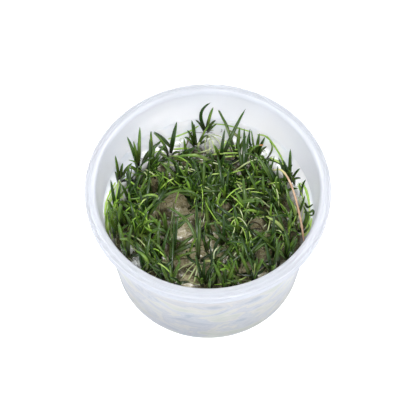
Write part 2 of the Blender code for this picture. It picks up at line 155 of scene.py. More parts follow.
# camera: mm from the rim's centre, angles in degrees, focal length in pixels of the photo's frame

view = dict(distance=600.0, elevation=60.29, pitch=61.12, focal=1482.9, frame=416, sensor=36.0)


def setCamera():
    data = bpy.data.cameras.new("camera")
    camera = bpy.data.objects.new("camera", data)
    bpy.context.scene.collection.objects.link(camera)
    tall = math.radians(view["elevation"])
    camera.location = (0.0, -view["distance"] * math.cos(tall) * mm,
                       (cupShape["height"] + view["distance"] * math.sin(tall)) * mm)
    camera.rotation_euler = (math.radians(90.0 - view["pitch"]), 0.0, 0.0)
    data.sensor_width = view["sensor"]
    data.lens = view["focal"] / view["frame"] * data.sensor_width
    data.clip_start = 0.01
    bpy.context.scene.camera = camera


# light and floor, in metres and watts

studio = dict(tentTop=0.3, tentFoot=2.2, aim=(0, 0, 0.04),
              keyPlace=(0.0, -0.38, 0.66), keySize=0.22, keyPower=2.3,
              rearPlace=(0.02, 0.45, 0.72), rearSize=0.17, rearPower=2.4, floorSize=4.0, floorGlow=0.6)


def addLight(name):
    data = bpy.data.lights.new(name + "Light", "AREA")
    data.shape = "DISK"
    data.size = studio[name + "Size"]
    data.energy = studio[name + "Power"]
    light = bpy.data.objects.new(name + "Light", data)
    bpy.context.scene.collection.objects.link(light)
    light.location = studio[name + "Place"]
    aim = Vector(studio["aim"]) - Vector(studio[name + "Place"])
    light.rotation_euler = aim.to_track_quat("-Z", "Y").to_euler()


def setStudio():
    world = bpy.data.worlds.new("studio")
    bpy.context.scene.world = world
    world.use_nodes = True
    tree = world.node_tree
    # a light tent: its sides are brighter than its top
    where = addNode(tree, "TexCoord").outputs["Generated"]
    height = addNode(tree, "SeparateXYZ", {}, {"Vector": where}).outputs["Z"]
    glow = addNode(tree, "MapRange", {"To Min": studio["tentFoot"], "To Max": studio["tentTop"]},
                   {"Value": height})
    wire(tree.nodes["Background"], {"Color": "#faf9ff"}, {"Strength": glow})
    addLight("key")
    addLight("rear")
    bpy.ops.mesh.primitive_plane_add(size=studio["floorSize"], location=(0, 0, 0))
    floor = bpy.context.object
    floor.name = "floor"
    material, tree, shader = newMaterial("litWhiteAcrylic")      # a light table: no dark shadow on it
    wire(shader, {"Base Color": "#f6f6f6", "Roughness": 0.7, "Emission Color": "#ffffff",
                  "Emission Strength": studio["floorGlow"]})
    floor.data.materials.append(material)
    bpy.context.scene.view_settings.view_transform = "Standard"


# cup, in mm

cupShape = dict(height=62.0, rimRadius=50.0, skirtDepth=6.0, skirtThickness=1.0, footRadius=40.0,
                neckRadius=46.1, wall=0.8, footRecess=0.9, innerCorner=2.6, outerCorner=2.5,
                lipRound=1.4, edgeRound=0.7, hemRound=0.5, footRound=0.45, footRing=2.0, recessSlope=1.0,
                floorSteps=(0.0, 20.0, 34.0), wallLevels=(12, 24, 36, 44, 50, 56), recessSteps=(18.0, 0.0),
                grooveDepth=0.16, skirtGrooves=(59.6, 57.9), lipGrooves=(47.7, 48.8), spinSteps=144)


def innerRadius(z):
    slope = ((cupShape["neckRadius"] - cupShape["footRadius"])
             / (cupShape["height"] - cupShape["skirtThickness"]))
    return cupShape["footRadius"] + slope * z - cupShape["wall"]


def moulded():
    # polypropylene, injection moulded: milky, faintly blue, glows where light comes through, satin
    material, tree, shader = newMaterial("mouldedPolypropylene")
    where = addNode(tree, "TexCoord").outputs["Object"]
    cloud = addNode(tree, "TexNoise", {"Scale": cells(28.5714), "Detail": 2.0}, {"Vector": where})
    colour = addNode(tree, "ValToRGB", {"stops": ((0.35, "#eff2f6"), (0.65, "#f7f8fa"))}, {"Fac": cloud})
    # the rim and skirt, from 45 mm outwards, are thicker, so more blue; below the lip's top the skirt is
    # painted darker, as painted shade on its side
    flat = addNode(tree, "VectorMath", {"operation": "MULTIPLY", 1: (1, 1, 0)}, {0: where})
    out = addNode(tree, "VectorMath", {"operation": "LENGTH"}, {0: flat}).outputs["Value"]
    thick = addNode(tree, "MapRange", {"From Min": 45.15 * mm, "From Max": 45.7 * mm}, {"Value": out})
    level = addNode(tree, "SeparateXYZ", {}, {"Vector": where}).outputs["Z"]
    outer = addNode(tree, "MapRange", {"From Min": 61.7 * mm, "From Max": 60.6 * mm}, {"Value": level})
    rimToneAndSkirtShade = addNode(tree, "Mix", {**mixColour, 6: "#e5e8ec", 7: "#d3d8df"}, {0: outer}).outputs[2]
    bluerRimShadedSkirt = addNode(tree, "Mix", mixColour, {0: thick, 6: colour, 7: rimToneAndSkirtShade}).outputs[2]
    # below the gel line the gel's swirls, some 8 mm wide, are painted on the wall as they would show through
    # the wet wall, and the wall is painted darker towards the foot, as painted shade
    drawn = addNode(tree, "Mapping", {"Scale": (1.0, 1.0, 1.7)}, {"Vector": where})
    swirls = addNode(tree, "TexNoise", {"Scale": cells(14.7059), "Detail": 4.0, "Distortion": 1.0},
                     {"Vector": drawn})
    paintedGelView = addNode(tree, "ValToRGB", {"stops": ((0.34, "#c3cfdd"), (0.44, "#eceff5"), (0.5, "#dbe2eb"),
                                                (0.55, "#fbf9f3"), (0.68, "#e4ebe0"))}, {"Fac": swirls})
    gelled = addNode(tree, "MapRange", {"From Min": 45.5 * mm, "From Max": 40.0 * mm}, {"Value": level})
    through = addNode(tree, "Mix", multiply, {0: gelled, 6: bluerRimShadedSkirt, 7: paintedGelView}).outputs[2]
    # painted shade: darker down to the foot
    foot = addNode(tree, "MapRange", {"From Min": 36.0 * mm, "From Max": 1.0 * mm, "To Min": 0.97,
                                      "To Max": 0.53}, {"Value": level})
    footShadePainted = addNode(tree, "Mix", multiply, {6: through, 7: foot}).outputs[2]
    # the mould's fine grain, drawn coarser than real so that it shows, and patches wiped duller
    grain = addNode(tree, "TexNoise", {"Scale": cells(1.66667), "Detail": 2.0}, {"Vector": where})
    bump = addNode(tree, "Bump", {"Distance": 0.015 * mm}, {"Height": grain})
    wiped = addNode(tree, "TexNoise", {"Scale": cells(6.25), "Detail": 3.0}, {"Vector": where})
    rough = addNode(tree, "ValToRGB", {"stops": ((0.3, 0.38), (0.7, 0.46))}, {"Fac": wiped})
    wire(shader, {"IOR": 1.49, "Transmission Weight": 0.58, "Subsurface Weight": 1.0,
                  "Subsurface Radius": (1.0, 1.0, 1.0), "Subsurface Scale": 2.0 * mm},
         {"Base Color": footShadePainted, "Normal": bump, "Roughness": rough})
    return material


def makeCup():
    top, rim, wall, neck = (cupShape[key] for key in ("height", "rimRadius", "wall", "neckRadius"))
    recess, depth = cupShape["footRecess"], cupShape["grooveDepth"]
    # inside, from the middle of the floor round the corner and up the wall
    profile = [(r, recess + wall) for r in cupShape["floorSteps"]]
    inner = cupShape["innerCorner"]
    cornerZ = recess + wall + inner
    profile += arcPoints(innerRadius(cornerZ) - inner, cornerZ, inner, -90, 0, 6)
    profile += [(innerRadius(z), z) for z in cupShape["wallLevels"]]
    # over the flat lip, with its two fine grooves
    lip = cupShape["lipRound"]
    profile += arcPoints(innerRadius(top - lip) + lip, top - lip, lip, 180, 100, 6)
    for r in cupShape["lipGrooves"]:
        profile += [(r - 0.45, top), (r - 0.2, top - depth), (r, top - depth), (r + 0.2, top)]
    # down the skirt, which leans in a little, and round its hem
    edge, hem = cupShape["edgeRound"], cupShape["hemRound"]
    profile += arcPoints(rim - edge, top - edge, edge, 90, 0, 5)
    for z in cupShape["skirtGrooves"]:
        profile += [(rim - 0.03, z + 0.35), (rim - depth - 0.04, z + 0.1),
                    (rim - depth - 0.05, z - 0.1), (rim - 0.08, z - 0.35)]
    profile += arcPoints(rim - edge, top - cupShape["skirtDepth"] + hem, hem, 0, -180, 6)
    # up inside the skirt to the neck, then down the outside of the wall
    profile += [(rim - 1.2, top - 2.2), (rim - 1.6, top - 1.3), (neck + 1.0, top - 1.0)]
    profile += [(neck + 0.25, top - 1.4), (innerRadius(top - 2.4) + wall, top - 2.4)]
    outer = cupShape["outerCorner"]
    profile += [(innerRadius(z) + wall, z) for z in (*reversed(cupShape["wallLevels"]), outer)]
    # round the corner to the foot ring and under the raised floor
    cornerR = innerRadius(outer) + wall - outer
    foot = cupShape["footRound"]
    profile += arcPoints(cornerR, outer, outer, 0, -90, 6)[1:]
    profile += arcPoints(cornerR - cupShape["footRing"], foot, foot, -90, -180, 3)
    profile.append((cornerR - cupShape["footRing"] - cupShape["recessSlope"], recess))
    profile += [(r, recess) for r in cupShape["recessSteps"]]
    cup = lathe("openCup", profile, cupShape["spinSteps"])
    cup.data.materials.append(moulded())
    finishPiece(cup, "translucent_polypropylene", "cup")


# gel, in mm

gelShape = dict(top=44.0, gap=0.3, meniscus=0.6, meniscusWidth=1.2, rise=0.25, ring=0.8, wet=0.03,
                sideLevels=(40, 30, 20, 10), stillEdge=2.5, spinSteps=160,
                wrinkles=(("softWrinkle", 4.5, 0.9), ("foldWrinkle", 1.6, 0.35)))


def agar():
    # agar gel, poured and set: wet, half clear, tan and grainy under the roots, pale by the wall, where the
    # pale is painted light
    material, tree, shader = newMaterial("pouredAgar")
    where = addNode(tree, "TexCoord").outputs["Object"]
    skin = addNode(tree, "TexNoise", {"Scale": cells(1.42857), "Detail": 3.0}, {"Vector": where})
    bump = addNode(tree, "Bump", {"Distance": 0.16 * mm}, {"Height": skin})
    dull = addNode(tree, "TexNoise", {"Scale": cells(4.0), "Detail": 3.0}, {"Vector": where})
    rough = addNode(tree, "ValToRGB", {"stops": ((0.35, 0.04), (0.7, 0.16))}, {"Fac": dull})
    # grains of 0.6 mm in patches of root stain some 8 mm wide
    grain = addNode(tree, "TexNoise", {"Scale": cells(0.625), "Detail": 3.0, "Roughness": 0.7},
                    {"Vector": where})
    stain = addNode(tree, "TexNoise", {"Scale": cells(8.33333), "Detail": 4.0}, {"Vector": where})
    tan = addNode(tree, "ValToRGB", {"stops": ((0.32, "#80764a"), (0.44, "#aea276"), (0.54, "#c4ba92"),
                                               (0.7, "#dcd6ba"))}, {"Fac": grain})
    brown = addNode(tree, "ValToRGB", {"stops": ((0.3, "#17160b"), (0.5, "#3c3920"), (0.7, "#7a734c"))},
                    {"Fac": grain})
    # the stain is thick under the dense plants, away from the open middle, where its near-black is painted
    # shade between the leaves as well as root stain
    centred = addNode(tree, "VectorMath", {"operation": "DISTANCE", 1: (1 * mm, -15 * mm, 44 * mm)},
                      {0: where})
    dense = addNode(tree, "MapRange", {"From Min": 14 * mm, "From Max": 28 * mm, "To Max": 0.14},
                    {"Value": centred.outputs["Value"]})
    stainAndShadeMask = addNode(tree, "Math", {"operation": "ADD"}, {0: stain, 1: dense})
    stainedAndShaded = addNode(tree, "ValToRGB", {"stops": ((0.5, 0.0), (0.6, 0.9))}, {"Fac": stainAndShadeMask})
    middle = addNode(tree, "Mix", mixColour, {0: stainedAndShaded, 6: tan, 7: brown}).outputs[2]
    # few roots reach the rear and the sides, so the gel is pale outside an oval set 14 mm to the front; its
    # near white is painted light, for light that comes up through the clear gel from the wall and floor
    flat = addNode(tree, "VectorMath", {"operation": "MULTIPLY_ADD", 1: (1.12, 1, 0), 2: (0, 14 * mm, 0)},
                   {0: where})
    out = addNode(tree, "VectorMath", {"operation": "LENGTH"}, {0: flat}).outputs["Value"]
    edge = addNode(tree, "MapRange", {"From Min": 42.0 * mm, "From Max": 48.0 * mm}, {"Value": out})
    streaks = addNode(tree, "TexNoise", {"Scale": cells(11.1111), "Detail": 3.0, "Distortion": 0.8},
                      {"Vector": where})
    pale = addNode(tree, "ValToRGB", {"stops": ((0.34, "#edf2f9"), (0.42, "#f8fbff"), (0.6, "#ffffff"))},
                   {"Fac": streaks})
    top = addNode(tree, "Mix", mixColour, {0: edge, 6: middle, 7: pale}).outputs[2]
    # down the side less light gets in, and swirls of root lie against the cup
    height = addNode(tree, "SeparateXYZ", {}, {"Vector": where}).outputs["Z"]
    down = addNode(tree, "MapRange", {"From Min": 43.0 * mm, "From Max": 34.0 * mm, "To Max": 0.85},
                   {"Value": height})
    drawn = addNode(tree, "Mapping", {"Scale": (1.0, 1.0, 2.2)}, {"Vector": where})
    swirls = addNode(tree, "TexNoise", {"Scale": cells(16.6667), "Detail": 3.0, "Distortion": 1.5},
                     {"Vector": drawn})
    deepSide = addNode(tree, "ValToRGB", {"stops": ((0.42, "#3f5560"), (0.47, "#b6c6d2"), (0.54, "#f2f5f7"),
                                                    (0.58, "#7f9c66"))}, {"Fac": swirls})
    colour = addNode(tree, "Mix", mixColour, {0: down, 6: top, 7: deepSide}).outputs[2]
    # the pale gel scatters, the tan gel is clearer
    clear = addNode(tree, "MapRange", {"To Min": 0.3, "To Max": 0.0}, {"Value": edge})
    wire(shader, {"IOR": 1.34},
         {"Base Color": colour, "Normal": bump, "Roughness": rough, "Transmission Weight": clear})
    return material


def wrinkle(gel, name, size, height):
    texture = bpy.data.textures.new(name, "CLOUDS")
    texture.noise_scale = size * mm
    bpy.context.view_layer.objects.active = gel
    modifier = gel.modifiers.new(name, "DISPLACE")
    modifier.texture = texture
    modifier.texture_coords = "LOCAL"
    modifier.direction = "Z"
    modifier.mid_level = 0.5
    modifier.strength = height * mm
    modifier.vertex_group = "skin"
    bpy.ops.object.modifier_apply(modifier=name)


def makeGel():
    level, wet, climb = gelShape["top"], gelShape["wet"], gelShape["meniscusWidth"]
    wallR = innerRadius(level) + wet       # it wets the wall, so no air is left between
    flat = wallR - climb
    rings = round(flat / gelShape["ring"])
    profile = [(flat * k / rings, level) for k in range(rings + 1)]
    profile += [(flat + climb * t, level + gelShape["rise"] * t ** 2.2) for t in (0.25, 0.5, 0.75, 1.0)]
    profile += [(innerRadius(z) + wet, z) for z in gelShape["sideLevels"]]
    floorTop = cupShape["footRecess"] + cupShape["wall"]
    corner = cupShape["innerCorner"]
    cornerZ = floorTop + corner
    profile += arcPoints(innerRadius(cornerZ) - corner, cornerZ, corner + wet, 0, -90, 5)
    profile.append((0.0, floorTop - wet))
    gel = lathe("agarGel", profile, gelShape["spinSteps"])
    # the skin is wrinkled in the middle and still at the wall
    skin = gel.vertex_groups.new(name="skin")
    for vertex in gel.data.vertices:
        if vertex.co.z > (level - 0.05) * mm:
            out = math.hypot(vertex.co.x, vertex.co.y) / mm
            skin.add([vertex.index], min(1.0, max(0.0, (wallR - out) / gelShape["stillEdge"])), "REPLACE")
    for name, size, height in gelShape["wrinkles"]:
        wrinkle(gel, name, size, height)
    gel.data.materials.append(agar())
    finishPiece(gel, "clear_agar", "gel")


# growth: where each rosette stands and how its leaves ease apart, in mm and degrees

growth = dict(crownRadius=1.9, crownHeight=45.5, baseOffset=0.8, baseTaper=0.35, baseShare=0.2,
              middleOut=0.42, middleUp=0.58, tipRadius=0.12, leavesEach=5, seed=11,
              fillerTurn=(0.4, 0.6), fillerReach=(5, 11), fillerRise=(8, 12), fillerLift=(1, 2.9),
              fillerWidth=(1.5, 2.1), fillerSwing=(-1, 1), fillerGive=4.0, fillerRoom=9.0, fillerEase=6.0,
              ceiling=57.4, ceilingAtWall=60.0, openRadius=34.0, leafGap=0.35, leastGap=0.1, wallGap=0.5,
              passes=90, push=0.7, coarse=14, fine=40, look=6.0, routeStep=0.8,
              tuftShares=(0.25, 0.5, 0.75))

# gel that shows between the plants, and the white tufts: x, y, radius
bareGel = ((-13, 3, 4), (-18, -2, 3.5), (-11.5, -8, 6), (-5.5, -6, 3.6), (-12.5, -15, 5), (-4.5, -20, 2.6),
           (-9, -29, 4.2), (-3, -31, 3), (8, 1, 2.1), (23, 2, 2.6), (33, 2, 2.1), (29, -7, 2.7),
           (20, -9, 2.2), (22, -21, 2.6), (29, -16, 2.1), (3, -11, 2.2), (6, -16, 1.7), (9, 31, 3),
           (-7, 33, 2.6), (14, 19, 3), (-17, 20, 2.6), (2, 30, 4), (39, 0, 2.6), (-36, 8, 2),
           (-32, -20, 2.2), (-29, -26, 2.2), (15, -26, 2.1), (-22, 10, 1.5), (-14, 28, 2.4), (-1, 25, 1.8),
           (14, 29, 2.6), (24, 27, 2.2), (-27, 25, 2), (8, 25, 2.2), (29, 19, 2), (35.4, 6.5, 2.6))

# each rosette: crown x and y, then leaves as bearing, reach, rise, lift, width and swing
rosetteTable = (
    ((-29, 19), ((87, 12, 13, 1, 2.3), (122, 9, 12, 2, 2.2), (108, 7, 10, 2, 1.9))),
    ((-24, 16), ((93, 8, 13, 1, 2.2), (75, 8, 11, 2, 2.0), (50, 10, 11, 4, 1.9))),
    ((-16, 25), ((71, 9, 12.5, 1, 2.8), (150, 8, 11, 4, 1.5), (-165, 5, 8, 3, 1.9), (-130, 11, 2, 4, 1.9))),
    ((-37, 12), ((104, 5, 13, 1, 1.8), (64, 4, 9, 2, 1.9), (36, 7, 8, 3, 1.9), (-8, 8, 1, 3, 1.8))),
    ((-5, 29), ((108, 6, 12, 1, 2.2), (140, 5, 8, 2, 1.8), (15, 5, 7, 3, 1.6))),
    ((-1, 36), ((72, 7, 13, 1, 2.1, 6.5), (57, 6, 12, 3, 1.9), (62, 4, 9, 1, 1.6), (29, 5, 6, 2, 1.8),
                (150, 5, 6, 2, 1.4))),
    ((6, 21), ((62, 21, 13, 2, 2.4), (80, 9, 12, 1, 2.2), (138, 5, 9, 2, 1.9))),
    ((12, 24), ((114, 18, 11, 3, 1.6), (152, 6, 8, 2, 1.5), (80, 7, 12, 1, 2.4), (50, 6, 9, 2, 1.9))),
    ((15, 13), ((89, 17, 13, 3, 2.6), (82, 16, 11, 2, 2.3), (103, 13, 10, 2, 2.2))),
    ((20, 23), ((76, 6, 11, 1, 2.3), (50, 6, 10, 1, 2.1), (36, 6, 4, 3, 1.7))),
    ((30, 6), ((129, 17, 12, 2, 2.8), (118, 12, 11, 2, 2.2), (80, 8, 11, 1, 2.0))),
    ((34, 12), ((90, 8, 13, 1, 2.3), (120, 6, 9, 2, 2.0), (5, 4, 10, 1, 1.8), (-25, 5, 6, 2, 1.7))),
    ((36, -7), ((127, 7, 11, 2, 1.9), (105, 11, 13, 2, 1.9), (65, 6, 12, 1, 1.7))),
    ((3, 15), ((163, 19, 6, 6, 1.9), (180, 5, 10, 2, 2.1), (45, 5, 12, 1, 2.2), (110, 7, 9, 2, 1.8))),
    ((-2, 4), ((109, 11, 13, 2, 2.4), (88, 12, 12, 2, 2.3), (60, 8, 11, 2, 2.1), (150, 7, 10, 2, 2.1))),
    ((-10, 9), ((144, 13, 9, 3, 2.2), (118, 7, 11, 1, 2.1), (74, 6, 12, 1, 2.2), (-57, 8, 2, 3, 1.7))),
    ((-26, -6), ((130, 10, 4, 9, 1.4, -6), (81, 13, 13, 2, 2.3), (104, 8, 11, 1, 2.2), (45, 8, 9, 2, 1.9))),
    ((-29, -15), ((30, 11, 6, 6, 1.9), (103, 10, 13, 1, 2.4), (129, 8, 11, 2, 2.2), (53, 7, 12, 2, 2.0))),
    ((-19, -26), ((87, 13, 13, 1, 2.6), (139, 9, 10, 2, 2.0), (70, 12, 12, 3, 1.5))),
    ((-26, -31), ((128, 17, 3, 9, 1.9, -7), (77, 13, 12, 2, 2.3), (108, 9, 11, 1, 2.2), (20, 8, 9, 2, 1.8))),
    ((-17, -14), ((17, 9, 9, 3, 2.5), (150, 8, 11, 3, 2.2), (98, 6, 10, 1, 2.2), (31, 14, 7, 5, 1.6))),
    ((-14, -22), ((32, 11, 5, 3, 2.3), (12, 12, 2, 4, 1.7), (80, 11, 13, 1, 1.6), (160, 6, 8, 2, 1.9))),
    ((-4, -25), ((92, 22, 12, 3, 2.3), (126, 24, 10, 5, 2.0, -7), (86, 14, 12, 1, 1.9), (13, 18, 3, 6, 1.7),
                 (-23, 8, 1, 3, 1.6))),
    ((13, -14), ((108, 9, 12, 1, 2.8), (-93, 16, 5, 7, 2.0), (60, 6, 12, 1, 1.8), (31, 7, 5, 3, 1.7))),
    ((7, -19), ((125, 8, 9, 2, 2.3), (95, 9, 12, 2, 2.0), (162, 10, 6, 3, 1.9))),
    ((26, -20), ((150, 9, 8, 3, 2.3), (84, 9, 13, 1, 2.1), (170, 8, 4, 3, 1.8))),
    ((33, -17), ((135, 12, 8, 4, 2.4), (118, 13, 12, 2, 1.7), (82, 8, 13, 1, 2.1), (-120, 6, 8, 2, 1.9))),
    ((33, -25), ((60, 6, 10, 1, 2.6), (116, 8, 12, 1, 2.1), (170, 6, 9, 2, 1.9))),
    ((14, -26), ((36, 12, 5, 3, 2.7), (110, 10, 10, 2, 2.0), (67, 7, 9, 2, 1.8), (-150, 6, 8, 2, 1.9))),
    ((18, -34), ((76, 6, 9, 1, 2.2), (125, 9, 12, 1, 2.1), (50, 7, 10, 2, 1.9))),
    ((7, -38), ((91, 5, 9, 1, 2.0), (129, 8, 12, 1, 2.2), (60, 8, 12, 1, 2.1))),
    ((23, 1), ((-174, 9, 3, 7, 2.5), (125, 14, 12, 2, 2.2), (94, 7, 12, 1, 2.1), (39, 6, 8, 2, 1.9))),
    ((17, -5), ((99, 13, 12, 2, 2.6), (41, 7, 9, 2, 1.9), (135, 9, 11, 2, 2.2), (5, 9, 2, 4, 1.6))),
    ((7, 2), ((101, 16, 12, 3, 2.3), (80, 9, 12, 1, 2.1), (154, 9, 10, 2, 2.0), (14, 7, 8, 2, 1.9))),
    ((-38, -3), ((102, 7, 14, 1, 2.2), (72, 8, 12, 1, 2.1), (-160, 3, 13, 1, 1.9))),
    ((-38, -14), ((104, 8, 14, 1, 2.0), (75, 9, 12, 1, 2.2), (130, 4, 11, 1, 1.8), (10, 6, 8, 2, 1.8))),
    ((-33, -24), ((107, 10, 13, 1, 2.2), (72, 9, 12, 1, 2.3), (-13, 6, 3, 3, 1.7))),
    ((-15, -37), ((88, 28, 12, 2, 1.3), (8, 8, 2, 3, 1.9), (55, 7, 12, 1, 2.1), (130, 6, 10, 2, 2.0))),
    ((-2, -36), ((112, 8, 12, 1, 2.2), (50, 7, 9, 2, 2.0), (85, 6, 11, 1, 1.9))),
    ((26, -31), ((112, 7, 13, 1, 2.2), (71, 8, 13, 1, 2.2), (160, 6, 8, 2, 1.9))),
    ((-32, 1), ((93, 9, 13, 1, 2.3), (61, 9, 12, 2, 2.2), (132, 5, 10, 2, 1.9))),
    ((39, -14), ((113, 6, 13, 1, 2.0), (88, 5, 12, 1, 1.7), (-100, 5, 10, 1, 1.8))),
)


class Rosette:
    # a crown with its leaves; number is the plantlet that a small leaf joins, none for a seedling
    def __init__(self, x, y, rooted=False, number=None):
        self.crown = Vector((x, y, growth["crownHeight"]))
        self.rooted = rooted
        self.number = number

    def keepOnGel(self):
        limit = (innerRadius(gelShape["top"]) - gelShape["gap"] - gelShape["meniscusWidth"]
                 - growth["crownRadius"])
        out = math.hypot(self.crown.x, self.crown.y)
        if out > limit:
            self.crown.x *= limit / out
            self.crown.y *= limit / out


class Leaf:
    # arches from the crown over a middle control point to its tip
    def __init__(self, rosette, bearing, reach, rise, lift, width, swing=0.0, give=1.0):
        angle = math.radians(bearing)
        outward = Vector((math.cos(angle), math.sin(angle), 0.0))
        leftward = Vector((-outward.y, outward.x, 0.0))
        self.rosette = rosette
        self.outward = outward
        self.width = width
        self.give = give
        self.length = math.hypot(reach, rise)
        self.base = outward * growth["baseOffset"]
        self.tip = rosette.crown + outward * reach + up * rise
        self.middle = (rosette.crown + outward * reach * growth["middleOut"]
                       + up * (rise * growth["middleUp"] + lift) + leftward * swing)

    def at(self, t):
        return archPoint(self.rosette.crown + self.base, self.middle, self.tip, t)

    def halfWidth(self, t):
        taper = min(1.0, growth["baseTaper"] + 1.8 * t) * (1.0 - t ** 2.6) ** 0.8
        return 0.5 * self.width * taper + growth["tipRadius"]

    def push(self, t, shift):
        shares = ((1 - t) ** 2, 2 * t * (1 - t), t * t)
        total = sum(share * share for share in shares)
        if not self.rosette.rooted:
            self.rosette.crown += shift * (shares[0] / total / growth["leavesEach"])
            self.rosette.crown.z = growth["crownHeight"]
        self.middle += shift * (shares[1] / total)
        self.tip += shift * (shares[2] / total)

    def holdLength(self):
        reach = self.tip - self.rosette.crown
        self.tip = self.rosette.crown + reach * (self.length / reach.length)


def smoothRoute(points, step):
    route = [Vector(p) for p in points]
    padded = [route[0] * 2 - route[1]] + route + [route[-1] * 2 - route[-2]]
    result = []
    for a, b, c, d in zip(padded, padded[1:], padded[2:], padded[3:]):
        count = max(1, round((c - b).length / step))
        for k in range(count):
            t = k / count
            bend = (b * 2 + (c - a) * t + (a * 2 - b * 5 + c * 4 - d) * t ** 2
                    + (b * 3 - a - c * 3 + d) * t ** 3)
            result.append(bend * 0.5)
    return result + [route[-1]]


def ceilingAt(place):
    blend = ((math.hypot(place.x, place.y) - growth["openRadius"])
             / (innerRadius(cupShape["height"]) - growth["openRadius"]))
    return growth["ceiling"] + (growth["ceilingAtWall"] - growth["ceiling"]) * min(1.0, max(0.0, blend))


def roomOutward(crown, bearing):
    angle = math.radians(bearing)
    out = math.hypot(crown.x + growth["fillerRoom"] * math.cos(angle),
                     crown.y + growth["fillerRoom"] * math.sin(angle))
    return min(1.0, max(0.2, (innerRadius(gelShape["top"]) - out) / growth["fillerEase"]))


def sow():
    # the listed leaves, then fillers in each rosette's widest gap
    dice = random.Random(growth["seed"])
    rosettes = []
    leaves = []
    for (x, y), listed in rosetteTable:
        rosette = Rosette(x, y)
        rosettes.append(rosette)
        leaves += [Leaf(rosette, *values) for values in listed]
    for rosette, (_, listed) in zip(rosettes, rosetteTable):
        bearings = sorted(values[0] % 360 for values in listed)
        for _ in range(growth["leavesEach"] - len(listed)):
            turns = bearings[1:] + [bearings[0] + 360]
            width, start = max((b - a, a) for a, b in zip(bearings, turns))
            bearing = start + width * dice.uniform(*growth["fillerTurn"])
            bearings = sorted(bearings + [bearing % 360])
            reach = dice.uniform(*growth["fillerReach"]) * roomOutward(rosette.crown, bearing)
            leaves.append(Leaf(rosette, bearing, reach, dice.uniform(*growth["fillerRise"]),
                               dice.uniform(*growth["fillerLift"]), dice.uniform(*growth["fillerWidth"]),
                               dice.uniform(*growth["fillerSwing"]), growth["fillerGive"]))
    return rosettes, leaves


def samples(leaf, count):
    steps = [k / count for k in range(count + 1)]
    return [(leaf, leaf.rosette, t, leaf.at(t), leaf.halfWidth(t)) for t in steps]


def gather(leaves, rosettes, fixed, count):
    points = [point for leaf in leaves for point in samples(leaf, count)]
    points += [(None, rosette, 0.0, rosette.crown, growth["crownRadius"]) for rosette in rosettes]
    points += [(None, None, 0.0, place, radius) for place, radius in fixed]
    tree = KDTree(len(points))
    for index, point in enumerate(points):
        tree.insert(point[3], index)
    tree.balance()
    return points, tree


def roomNeeded(one, other, distance):
    if one[1] is other[1]:
        return 0.0
    return one[4] + other[4] + growth["leafGap"] - distance


def keepInCup(leaf, t, place, radius):
    out = math.hypot(place.x, place.y) + radius + growth["wallGap"] - innerRadius(place.z)
    if out > 0.0:
        leaf.push(t, Vector((-place.x, -place.y, 0.0)).normalized() * out)
    sunk = gelShape["top"] + gelShape["meniscus"] + gelShape["gap"] + radius - place.z
    if sunk > 0.0 and t > growth["baseShare"]:
        leaf.push(t, up * sunk)
    over = place.z + radius - ceilingAt(place)
    if over > 0.0:
        leaf.push(t, -up * over)


def easeApart(leaves, rosettes, fixed, passes):
    widest = max(leaf.halfWidth(k / growth["coarse"]) for leaf in leaves for k in range(growth["coarse"]))
    search = widest + max(growth["crownRadius"], max(radius for _, radius in fixed)) + growth["leafGap"]
    for _ in range(passes):
        points, tree = gather(leaves, rosettes, fixed, growth["coarse"])
        for point in points:
            leaf, _, t, place, radius = point
            if leaf is None or (leaf.rosette.rooted and t < extraLeaves["still"]):
                continue
            for near, index, distance in tree.find_range(place, search):
                other = points[index]
                room = roomNeeded(point, other, distance)
                if room > 0.0:
                    away = (place - near).normalized() if distance > 0.01 else up
                    share = leaf.give / (leaf.give + other[0].give) if other[0] else 1.0
                    leaf.push(t, away * room * growth["push"] * share)
            keepInCup(leaf, t, place, radius)
        for rosette in rosettes:
            rosette.keepOnGel()
        for leaf in leaves:
            leaf.holdLength()


def clearLeaves(leaves, rosettes, fixed):
    # keeps the leaves that cross no other
    kept = []
    for leaf in leaves:
        points, tree = gather(kept, rosettes, fixed, growth["fine"])
        crossing = any(
            roomNeeded(point, points[index], distance) > growth["leafGap"] - growth["leastGap"]
            for point in samples(leaf, growth["fine"])
            for _, index, distance in tree.find_range(point[3], growth["look"])
        )
        if not crossing:
            kept.append(leaf)
    return kept


# smaller leaves in every rosette, and seedlings between them, away from the bare gel

extraLeaves = dict(seed=5, inner=12, innerReach=(2, 8), innerRise=(9, 13), innerWidth=(1.0, 1.8),
                   innerSwing=(-1.5, 1.5), sparse=(5,), sparseInner=2,
                   seedlings=100, tries=6000, sownTo=40.0, smallGap=3.0, smallLeaves=(3, 5),
                   smallReach=(2, 8), smallRise=(8, 12.5), smallWidth=(0.9, 1.7), smallSwing=(-2, 2),
                   lift=(0.5, 3), lean=95, spread=38, spreads=(0.7, 2.0), still=0.3, passes=12,
                   rearSide=40, rearDepth=35, rearRoom=3, hides=0.55, reach=40.5, curl=0.36)


def onBareGel(x, y, margin=0.0):
    return any(math.hypot(x - bx, y - by) < r + margin for bx, by, r in bareGel)


def pastRear(x, y, room=0.0):
    # behind the curved line where the growth ends at the rear
    return y > 0 and math.hypot(x / extraLeaves["rearSide"], (y + room) / extraLeaves["rearDepth"]) > 1.0


def hiddenY(place):
    # where the gel that this place hides from above the front would be
    return place.y + (place.z - gelShape["top"]) * extraLeaves["hides"]


def freeBearing(dice, taken):
    # of three bearings, the one furthest from those that are taken
    lean = (extraLeaves["lean"], extraLeaves["spread"])
    choices = [dice.choice((dice.uniform(0, 360), dice.gauss(*lean))) % 360 for _ in range(3)]
    return max(choices, key=lambda a: min([abs((a - b + 180) % 360 - 180) for b in taken] or [0]))


def smallLeaf(dice, rosette, bearing, kind):
    room = roomOutward(rosette.crown, bearing)
    return Leaf(rosette, bearing, dice.uniform(*extraLeaves[kind + "Reach"]) * room,
                dice.uniform(*extraLeaves[kind + "Rise"]), dice.uniform(*extraLeaves["lift"]),
                dice.uniform(*extraLeaves[kind + "Width"]), dice.uniform(*extraLeaves[kind + "Swing"]))


